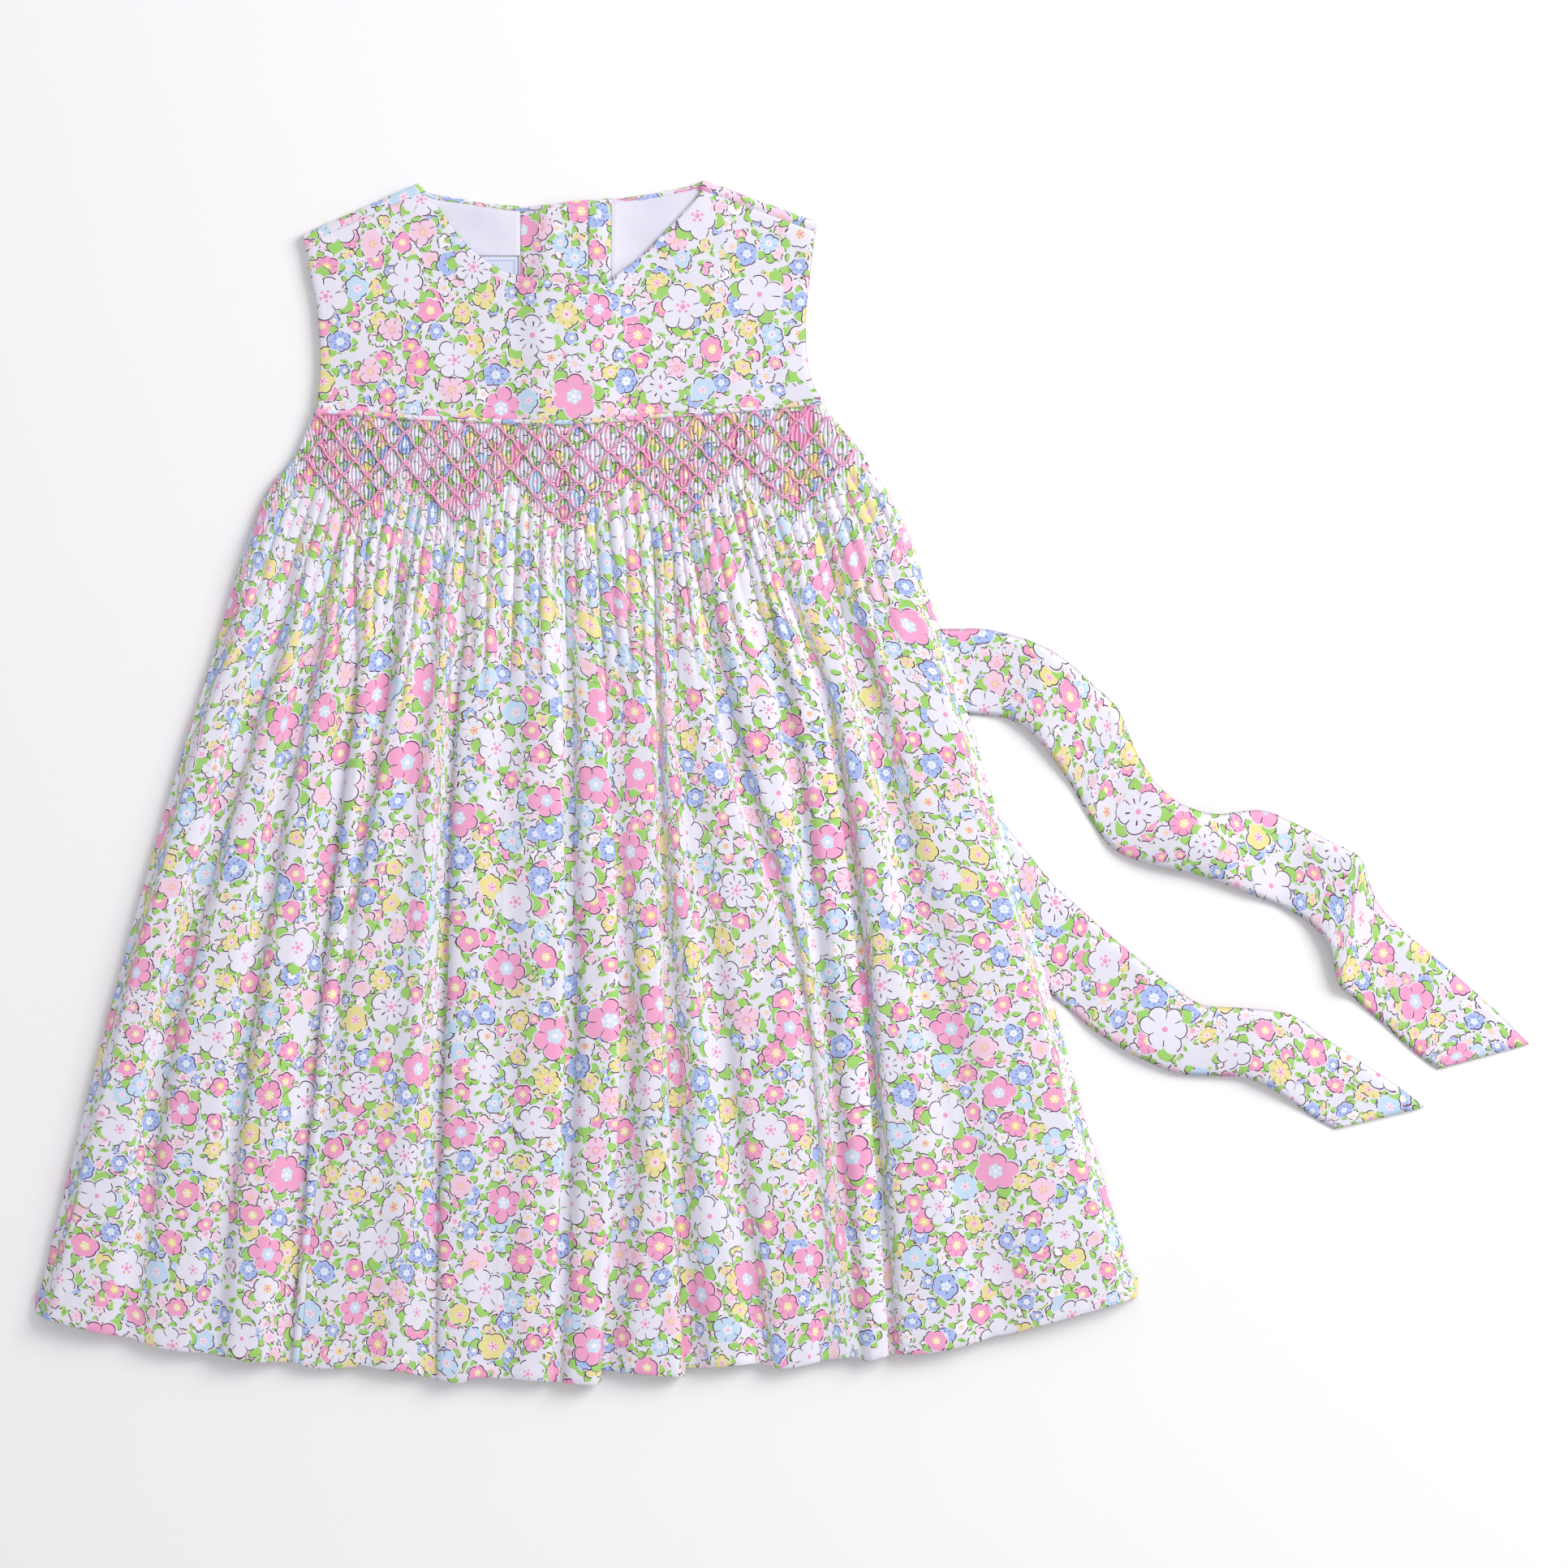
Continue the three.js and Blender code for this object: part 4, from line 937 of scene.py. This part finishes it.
def coons(left, right, top, bottom, us, vs):
    """Points x, y of a panel between four edges, rows from top to bottom"""
    grid = np.zeros((len(vs), len(us), 2))
    corner = [np.array(edge(at)) for edge in (top, bottom) for at in (0.0, 1.0)]
    for a, v in enumerate(vs):
        l, r = np.array(left(v)), np.array(right(v))
        for b, u in enumerate(us):
            t, m = np.array(top(u)), np.array(bottom(u))
            mixed = lerp(lerp(corner[0], corner[1], u), lerp(corner[2], corner[3], u), v)
            grid[a, b] = lerp(l, r, u) + lerp(t, m, v) - mixed
    return grid


def outward(loop):
    """Unit normals in the plane, away from a counter-clockwise or clockwise loop of points"""
    ahead, behind = np.roll(loop, -1, 0), np.roll(loop, 1, 0)
    run = ahead - behind
    normal = np.stack([run[:, 1], -run[:, 0]], 1)
    area = (loop[:, 0] * ahead[:, 1] - ahead[:, 0] * loop[:, 1]).sum()
    normal = normal * (1 if area > 0 else -1)
    return normal / np.maximum(np.linalg.norm(normal, axis=1, keepdims=True), 1e-9)


def panel(name, grid, top_z, thick, material, origin, soft=0.25, roll=0.3, turned=3.0):
    """A cloth panel with rounded edges: a grid of x, y, its upper height, and a thin underside turned in"""
    rows, columns = grid.shape[:2]
    build = Build()
    z = top_z(grid[..., 0], grid[..., 1]) + soft * wander(grid[..., 0] * 1.3, grid[..., 1] * 1.3)
    across = np.minimum(np.arange(columns), np.arange(columns)[::-1])
    down = np.minimum(np.arange(rows), np.arange(rows)[::-1])
    rim = np.minimum(across[None, :], down[:, None])
    z = z - np.where(rim == 0, 0.22 * thick, 0)
    points = np.concatenate([grid, z[..., None]], 2)
    uv = grid * np.array([1, -1]) + np.array(origin)
    index = np.array([build.row(points[r], uv[r]) for r in range(rows)])
    for r in range(rows - 1):
        build.quads(index[r], index[r + 1])
    loop = np.concatenate([index[0], index[1:, -1], index[-1, -2::-1], index[-2:0:-1, 0]])
    flat = points.reshape(-1, 3)
    edge, edge_uv = flat[loop], uv.reshape(-1, 2)[loop]
    normal = outward(edge[:, :2])
    last = loop
    for out, fall, run in ((roll, 0.28, 0.4), (roll * 1.15, 0.5, 0.8), (roll * 0.7, 0.78, 1.2),
                           (-turned, 0.92, turned + 1.5)):
        ring = np.concatenate([edge[:, :2] + normal * out, (edge[:, 2] - thick * (fall - 0.1))[:, None]], 1)
        ring_index = build.row(ring, edge_uv + normal * np.array([1, -1]) * run)
        for k in range(len(loop)):
            n = (k + 1) % len(loop)
            build.faces.append((last[k], ring_index[k], ring_index[n], last[n]))
        last = ring_index
    return build.piece(name, material)


def shoulder_y(x):
    x = np.asarray(x, float)
    left = lerp(LEFT_OUTER[1], LEFT_NECK[1], (x - LEFT_OUTER[0]) / (LEFT_NECK[0] - LEFT_OUTER[0]))
    right = lerp(RIGHT_OUTER[1], RIGHT_NECK[1], (x - RIGHT_OUTER[0]) / (RIGHT_NECK[0] - RIGHT_OUTER[0]))
    return np.where(x < LEFT_NECK[0], left, np.where(x > RIGHT_NECK[0], right, back_neck_y(x)))


def on_shoulder(x):
    return np.clip(1 - np.minimum(x - LEFT_NECK[0], RIGHT_NECK[0] - x) / 3.0, 0, 1)


def front_top_y(x):
    inside = np.minimum(x - LEFT_NECK[0], RIGHT_NECK[0] - x)
    neck = neckline_y(x) - SHOULDER_SETBACK * (1 - smooth(inside, 0, 12))
    return np.where(inside < 0, shoulder_y(x) - SHOULDER_SETBACK, neck)


def yoke_front():
    wide = RIGHT_OUTER[0] - LEFT_OUTER[0]
    tucked = SEAM_SETBACK - 0.8
    low_left = (float(left_armhole_x(LEFT_ARMHOLE[0][0])), float(seam_y(SEAM_FROM)) + tucked)
    low_right = (float(right_armhole_x(RIGHT_ARMHOLE[0][0])), float(seam_y(SEAM_TO)) + tucked)

    def top(u):
        x = LEFT_OUTER[0] + wide * u
        return x, float(front_top_y(x))

    def bottom(u):
        x = lerp(low_left[0], low_right[0], u)
        return x, float(seam_y(x)) + tucked

    def left(v):
        y = lerp(float(front_top_y(LEFT_OUTER[0])), low_left[1], v)
        return float(left_armhole_x(y)), y

    def right(v):
        y = lerp(float(front_top_y(RIGHT_OUTER[0])), low_right[1], v)
        return float(right_armhole_x(y)), y

    def top_z(x, y):
        return YOKE_REST + CLOTH + front_bulge(x)

    at_corners = [(x - LEFT_OUTER[0]) / wide for x, _ in NECKLINE]
    us = np.unique(np.concatenate([np.linspace(0, 1, 90), at_corners, [0.0012, 0.9988]]))
    grid = coons(left, right, top, bottom, us, edged(44, 0.003))
    return panel("yoke_front_cloth", grid, top_z, CLOTH, FLORAL, (300, 320), soft=0.9)


def back_grid(start, end, inset, columns, rows=30):
    def armhole(at, y):
        if at <= LEFT_OUTER[0]:
            return float(left_armhole_x(y)) + inset
        if at >= RIGHT_OUTER[0]:
            return float(right_armhole_x(y)) - inset
        return at

    def top_at(at):
        return float(shoulder_y(at)) - inset

    def seam_at(at):
        return float(seam_y(at)) + inset + HALF_GAP

    def side(at):
        def edge(v):
            y = lerp(top_at(at), seam_at(at), v)
            return armhole(at, y), y
        return edge

    def line(height):
        def edge(u):
            at = lerp(start, end, u)
            return lerp(armhole(start, height(start)), armhole(end, height(end)), u), height(at)
        return edge

    return coons(side(start), side(end), line(top_at), line(seam_at), edged(columns, 0.35 / (end - start)),
                 edged(rows, 0.003))


def back_half(node, start, end, lift, origin):
    """A half of the back yoke, flat on the surface but where it laps over the other"""
    def top_z(x, y):
        return BACK_CLOTH + lift(x)

    grid = back_grid(start, end, 0, 70)
    return panel(node + "_cloth", grid, top_z, BACK_CLOTH * 0.9, FLORAL, origin, soft=0.15)


# The shoulder wrap's section as y, z and cloth used: over the shoulders, and along the back neck
WRAP_OVER = [(-1.0, 0.3, 0), (0.7, 0.9, 1.5), (1.3, 2.0, 3), (1.2, 3.3, 4.5), (0.5, 4.4, 6), (-0.8, 5.0, 7.5),
             (-2.4, 4.95, 9), (-4.0, 4.55, 10.5), (-4.8, 4.0, 11.5)]
WRAP_NECK = [(-1.0, 0.3, 0), (0.2, 0.5, 1.5), (0.4, 0.9, 3), (0.4, 1.5, 4.5), (0.2, 2.1, 6), (-0.3, 2.5, 7.5),
             (-1.0, 2.62, 9), (-1.7, 2.5, 10.5), (-2.1, 2.2, 11.5)]


def shoulder_wrap():
    """The back's cloth where it comes over each shoulder to the seam in front, and edges the back neck"""
    build = Build()
    shoulder_left = np.linspace(LEFT_OUTER[0], LEFT_NECK[0], 40)
    neck = np.linspace(LEFT_NECK[0], RIGHT_NECK[0], 90)
    shoulder_right = np.linspace(RIGHT_NECK[0], RIGHT_OUTER[0], 40)
    xs = np.concatenate([shoulder_left, neck[1:], shoulder_right[1:]])
    weight = on_shoulder(xs)
    overlap = (RIGHT_HALF_FROM + PLACKET_EDGE) / 2 + 8
    lifted = np.where(xs < overlap, left_lift(xs), right_lift(xs)) * (1 - weight)
    y = shoulder_y(xs)
    rows = []
    for (oy, oz, run), (ny, nz, _) in zip(WRAP_OVER, WRAP_NECK):
        points = np.stack([xs, y + lerp(ny, oy, weight), lerp(nz, oz, weight) + lifted], 1)
        rows.append((points, np.stack([xs + 260, run - y * 0.6], 1)))
    build.strip(rows)
    return build.piece("shoulder_wrap", FLORAL)


def lining(node, start, end, lift, material, origin, columns):
    """A lining or a facing on a back half"""
    def top_z(x, y):
        return LINING_REST + BACK_CLOTH + lift(x)

    grid = back_grid(start, end, 1.5, columns)
    turned = min(3.0, 0.06 * (end - start))
    return panel(node + "_cloth", grid, top_z, BACK_CLOTH, material, origin, soft=0.7, turned=turned)


def neck_label():
    x = np.linspace(LABEL_FROM[0], LABEL_TO[0], 24)
    y = np.linspace(LABEL_TO[1], LABEL_FROM[1], 18)

    def top_z(x, y):
        return LABEL_REST + LABEL_CLOTH + 0.12 * np.sin(x / 5.0)

    piece = panel("neck_label_ribbon", np.stack(np.meshgrid(x, y), -1), top_z, LABEL_CLOTH, RIBBON,
                  (-LABEL_FROM[0], LABEL_TO[1]), soft=0.0, roll=0.1)
    label_uv_flip(piece)
    return piece


def label_uv_flip(piece):
    """Makes the label's t run up from its lower edge"""
    tall = (LABEL_TO[1] - LABEL_FROM[1]) * MM
    for item in piece.data.uv_layers["cloth"].data:
        item.uv[1] = tall - item.uv[1]


# Piping, back of the skirt, ties
def tube(build, path, radii, sides, origin=(0.0, 0.0)):
    """A closed tube along points; its cloth coordinates run along it and around it"""
    path = np.asarray(path, float)
    run = np.gradient(path, axis=0)
    run /= np.maximum(np.linalg.norm(run, axis=1, keepdims=True), 1e-9)
    across = np.cross(run, np.array([0.0, 0.0, 1.0]))
    across /= np.maximum(np.linalg.norm(across, axis=1, keepdims=True), 1e-9)
    up = np.cross(across, run)
    steps = np.linalg.norm(np.diff(path, axis=0), axis=1)
    length = origin[0] + np.concatenate([[0], np.cumsum(steps)])
    first = last = None
    angles = np.linspace(0, TAU, sides, endpoint=False)
    for p, a, b, at, r in zip(path, across, up, length, radii):
        ring = p + r * (np.cos(angles)[:, None] * a + np.sin(angles)[:, None] * b)
        index = build.row(ring, np.stack([np.full(sides, at), r * angles + origin[1]], 1))
        if last is None:
            first = index
        else:
            for k in range(sides):
                n = (k + 1) % sides
                build.faces.append((last[k], last[n], index[n], index[k]))
        last = index
    build.faces.append(tuple(first[::-1]))
    build.faces.append(tuple(last))


def yoke_piping():
    build = Build()
    x = np.linspace(SEAM_FROM - 0.4, SEAM_TO + 0.4, 260)
    y = seam_y(x) + 0.12 * np.sin(x / 9.0)
    z = YOKE_REST + PIPING_RADIUS + bulge_below_seam(x, seam_y(x)) + 0.3
    radii = PIPING_RADIUS * (1 + 0.05 * np.sin(x / 3.1) + 0.04 * np.sin(x / 7.7))
    tube(build, np.stack([x, y, z], 1), radii, 12, (40.0, 700.0))
    return build.piece("yoke_piping_cloth", FLORAL)


# How far from a tie's middle line the back panel still rises over it, how high it lies there and elsewhere
TIE_CLEAR, OVER_TIE, BACK_REST = 26, 1.15, 0.45
BACK_SETBACK, SIDE_SETBACK, BACK_SIDE_HEIGHT = 1.2, 0.6, 1.25
BACK_PLEATS, BACK_WAVES = 52, 11
# A tie's height at its middle layer, the run of its rounded edge, and of its creases' fading at the edge
TIE_MIDDLE, TIE_ROUND, TIE_FADE = 0.55, 1.6, 5.0


def tie_distance(x, y, sections):
    """How far inside a tie's hidden run a point lies, 0 to 1"""
    best = np.full(x.shape, -1e9)
    centres = np.array([((a[0] + a[2]) / 2, (a[1] + a[3]) / 2) for a in sections])
    for p, q in zip(centres[:-1], centres[1:]):
        run = q - p
        t = np.clip(((x - p[0]) * run[0] + (y - p[1]) * run[1]) / (run @ run), 0, 1)
        away = np.hypot(x - p[0] - t * run[0], y - p[1] - t * run[1])
        best = np.maximum(best, TIE_CLEAR - away)
    return smooth(best, 0, 7)


def skirt_back():
    build = Build()
    last = None
    us, vs = np.linspace(0, 1, 241), np.linspace(0, 1, 90)
    for v in vs:
        left, right = skirt_edges(v)
        x = lerp(left, right, us) + SIDE_SETBACK * (1 - 2 * us)
        y = skirt_fall(us, v) + BACK_SETBACK
        over_tie = np.maximum(tie_distance(x, y, RIGHT_TIE[:9]), tie_distance(x, y, LEFT_TIE[:7]))
        pleats = np.abs(np.sin(us * math.pi * BACK_PLEATS + 0.7 * np.sin(us * 19))) ** 0.7
        wave = np.sin(us * math.pi * BACK_WAVES + 1.5 * np.sin(v * 3 + us * 4)) ** 2
        gathered = 0.55 * pleats * (1 - smooth(v, 0.1, 0.45)) * (1 - over_tie * 0.6)
        loose = 0.5 * wave * smooth(v, 0.15, 0.5) * (1 - 0.6 * over_tie)
        z = BACK_REST + OVER_TIE * over_tie + gathered + loose + 0.6 * bulge_below_seam(x, y)
        edge = 1 - np.clip(np.minimum(us, 1 - us) * (right - left) / 4.0, 0, 1)
        z = lerp(z, BACK_SIDE_HEIGHT, edge)
        cloth = us * CUT_WIDTH + 1000 + 3.0 * pleats * (1 - smooth(v, 0.2, 0.6))
        index = build.row(np.stack([x, y, z], 1), np.stack([cloth, np.full_like(x, v * SKIRT_DROP)], 1))
        if last is not None:
            build.quads(index, last)
        last = index
    return build.piece("skirt_back_cloth", FLORAL)


def tie(node, table, origin, creases):
    """A sash tie: two layers with folded edges along its sections; creases are at, span, slant and height"""
    sections = np.array(table, float)
    middle = (sections[:, 0:2] + sections[:, 2:4]) / 2
    steps = np.linalg.norm(np.diff(middle, axis=0), axis=1)
    length = np.concatenate([[0], np.cumsum(steps)])
    fields = [through(list(zip(length, sections[:, k]))) for k in range(6)]
    count = int(length[-1] / 3.2)
    run = np.linspace(0, length[-1], count)
    up_x, up_y, low_x, low_y, lift, arch = (field(run) for field in fields)
    across = np.linspace(0, 1, 15)
    build = Build()
    rows = []
    for k, at in enumerate(run):
        x, y = lerp(low_x[k], up_x[k], across), lerp(low_y[k], up_y[k], across)
        wide = math.hypot(up_x[k] - low_x[k], up_y[k] - low_y[k])
        base = lift[k] + arch[k] * 4 * across * (1 - across)
        crease = np.zeros_like(across)
        for middle_at, span, slant, high in creases:
            crease += high * np.exp(-(((at - middle_at) - slant * (across - 0.5)) / span) ** 2)
        free = smooth(base + lift[k], 0, 1.5)
        soft = 0.22 * np.sin(at / 11.0 + 2.4 * across) + 0.18 * np.sin(at / 5.7 - 3.1 * across)
        edge = np.minimum(across, 1 - across) * wide
        round_top = np.sqrt(np.clip(1 - (1 - np.clip(edge / TIE_ROUND, 0, 1)) ** 2, 0, 1))
        inner = np.clip(edge / TIE_FADE, 0, 1)
        top = base + TIE_MIDDLE + 0.75 * round_top + (crease + 0.8 * soft + 0.15) * inner
        under = np.maximum(base + TIE_MIDDLE - 0.5 * round_top + (0.7 * crease) * inner * free, 0.02)
        along = np.full(across.shape, at + origin[0])
        uv_top = np.stack([along, across * wide + origin[1]], 1)
        uv_under = np.stack([along, 90 - across * wide + origin[1]], 1)
        rows.append((build.row(np.stack([x, y, top], 1), uv_top),
                     build.row(np.stack([x, y, under], 1)[1:-1], uv_under[1:-1])))
    for (top, under), (top2, under2) in zip(rows[:-1], rows[1:]):
        build.quads(top, top2)
        ring, ring2 = [top[0], *under, top[-1]], [top2[0], *under2, top2[-1]]
        build.quads(ring2, ring)
    for (top, under), flip in ((rows[0], False), (rows[-1], True)):
        loop = [*top, *under[::-1]]
        build.faces.append(tuple(loop[::-1] if flip else loop))
    return build.piece(node + "_cloth", FLORAL)


# Smocking threads
def band_point(d, depth, high):
    """A point on the pleats' crests of the smocked band"""
    v = depth / SKIRT_DROP
    left, right = skirt_edges(v)
    x = lattice_x(d)
    u = np.clip((x - left) / (right - left), 0, 1)
    y = skirt_fall(u, v)
    lift = np.array([float(base_lift(np.array([a]), float(b), np.array([c]), np.array([e]))[0])
                     for a, b, c, e in zip(u, v, x, y)])
    return np.stack([x, y, SKIRT_REST + CLOTH + PLEAT_HEIGHT * 0.95 + high + lift], 1)


def smocked(level, d):
    """Whether the smocking reaches this level at diamond d"""
    return min(abs(d - tip) for tip in TIPS) <= (TIP_LEVEL - level) / 2


def smocking_threads():
    build = Build()
    share = np.linspace(0, 1, 9)
    ease = share + 0.07 * np.sin(TAU * share)
    beads = np.abs(np.sin(4 * math.pi * share))
    for k in range(TIP_LEVEL):
        for j in range(FIRST_HALF, LAST_HALF):
            d_from, d_to = j / 2, (j + 1) / 2
            if k >= FULL_LEVEL and not smocked(k, (d_from + d_to) / 2):
                continue
            start, end = (LEVELS[k], LEVELS[k + 1]) if (j + k) % 2 == 0 else (LEVELS[k + 1], LEVELS[k])
            depth = lerp(start, end, share)
            left, right = skirt_edges(float(depth.mean()) / SKIRT_DROP)
            if lattice_x(d_from) < left + 1.0 or lattice_x(d_to) > right - 1.0:
                continue
            for side in (-1, 1):
                bow = 0.34 * side * (1 - 0.35 * np.cos(TAU * share))
                path = band_point(lerp(d_from, d_to, ease), depth + bow, 0.34 + 0.14 * beads + 0.06 * side)
                tube(build, path, THREAD_RADIUS * (0.85 + 0.25 * beads), 5)
        for j in range(FIRST_HALF, LAST_HALF + 1):
            if (j + k) % 2 == 0 and (k <= FULL_LEVEL or smocked(k - 0.1, j / 2)):
                knot(build, j / 2, LEVELS[k])
    for tip in TIPS:
        knot(build, tip, LEVELS[TIP_LEVEL])
    return build.piece("smocking_threads", PINK_THREAD)


def knot(build, d, depth):
    """The two short stitches that close a crossing"""
    left, right = skirt_edges(depth / SKIRT_DROP)
    if not left + 2.0 <= lattice_x(d) <= right - 2.0:
        return
    share = np.linspace(0, 1, 7)
    hump = np.sin(math.pi * share)
    for side in (-1, 1):
        path = band_point(lerp(d - 0.14, d + 0.14, share), np.full(7, depth + 0.45 * side), 0.35 + 0.4 * hump)
        tube(build, path, KNOT_RADIUS * (0.6 + 0.4 * hump), 5)


# The pieces
def put(piece, *nodes, slot="floral_cotton"):
    """Fixes a piece to the body and hides the solids that it stands for; slot is not used"""
    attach(piece, "root")
    if nodes:
        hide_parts(*nodes)
    return piece


def put_back_half(node, *sizes):
    return put(back_half(node, *sizes), node)


def put_lining(node, slot, *sizes):
    return put(lining(node, *sizes), node, slot=slot)


front = put(skirt_front(), "skirt_front")
back = put(skirt_back(), "skirt_back")
yoke = put(yoke_front(), "yoke_front")
half_left = put_back_half("yoke_back_left", LEFT_OUTER[0], PLACKET_EDGE, left_lift, (800, 900))
half_right = put_back_half("yoke_back_right", RIGHT_HALF_FROM, RIGHT_OUTER[0], right_lift, (900, 1100))
put(shoulder_wrap())
lining_left = put_lining("yoke_lining_left", "lining_cotton", LEFT_OUTER[0], LEFT_FACING_FROM - HALF_GAP,
                         left_lift, LINING, (300, 300), 40)
lining_right = put_lining("yoke_lining_right", "lining_cotton", RIGHT_FACING_TO + HALF_GAP, RIGHT_OUTER[0],
                          right_lift, LINING, (300, 300), 40)
facing_left = put_lining("placket_facing_left", "floral_cotton", LEFT_FACING_FROM + HALF_GAP, PLACKET_EDGE,
                         left_lift, FLORAL, (1300, 700), 24)
facing_right = put_lining("placket_facing_right", "floral_cotton", PLACKET_EDGE + SEAM_GAP,
                          RIGHT_FACING_TO - HALF_GAP, right_lift, FLORAL, (1400, 810), 14)
label = put(neck_label(), "neck_label", slot="label_ribbon")
put(yoke_piping(), "yoke_piping")
RIGHT_CREASES = [
    (238, 4, 10, 1.0), (276, 5, -12, 0.9), (330, 4, 14, 1.2), (352, 3, -8, 0.8), (398, 6, 10, 0.8),
    (430, 5, -14, 0.7)]
LEFT_CREASES = [(462, 5, 10, 0.7), (500, 4, -12, 0.9), (530, 6, 10, 0.6), (560, 4, 8, 0.6)]
tie_right = put(tie("sash_tie_right", RIGHT_TIE, (2000, 400), RIGHT_CREASES), "sash_tie_right")
tie_left = put(tie("sash_tie_left", LEFT_TIE, (2300, 60), LEFT_CREASES), "sash_tie_left")
threads = put(smocking_threads())

for number in (1, 2, 3):
    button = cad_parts[f"back_button_{number}"]
    button.data.materials.clear()
    button.data.materials.append(RESIN)

# Floor and light
FLOOR_HALF, FLOOR_LEVEL = 3, -0.0004
KEY_PLACE, KEY_SIZE, KEY_WATTS, KEY_COLOUR = (1.5, 0.9, 1.35), 1.2, 36, (1.0, 0.985, 0.97)
SKY_COLOUR, SKY_STRENGTH = (0.95, 0.94, 0.985, 1), 0.625

corners = [(FLOOR_HALF * x, FLOOR_HALF * y, FLOOR_LEVEL) for x, y in ((-1, -1), (1, -1), (1, 1), (-1, 1))]
floor_mesh = bpy.data.meshes.new("studio_floor")
floor_mesh.from_pydata(corners, [], [(0, 1, 2, 3)])
floor_mesh.materials.append(PAPER)
floor = link("studio_floor", floor_mesh)

key_data = bpy.data.lights.new("key_light", "AREA")
key_data.shape, key_data.size, key_data.energy, key_data.color = "SQUARE", KEY_SIZE, KEY_WATTS, KEY_COLOUR
key_light = link("key_light", key_data)
key_light.location = KEY_PLACE
toward = -np.array(KEY_PLACE)
pitch = math.acos(-toward[2] / np.linalg.norm(toward))
key_light.rotation_euler = (pitch, 0, math.atan2(toward[1], toward[0]) - math.pi / 2)

world = bpy.data.worlds.new("studio_world")
world.use_nodes = True
sky = world.node_tree.nodes["Background"]
sky.inputs[0].default_value = SKY_COLOUR
sky.inputs[1].default_value = SKY_STRENGTH
bpy.context.scene.world = world
bpy.context.scene.view_settings.view_transform = "Standard"
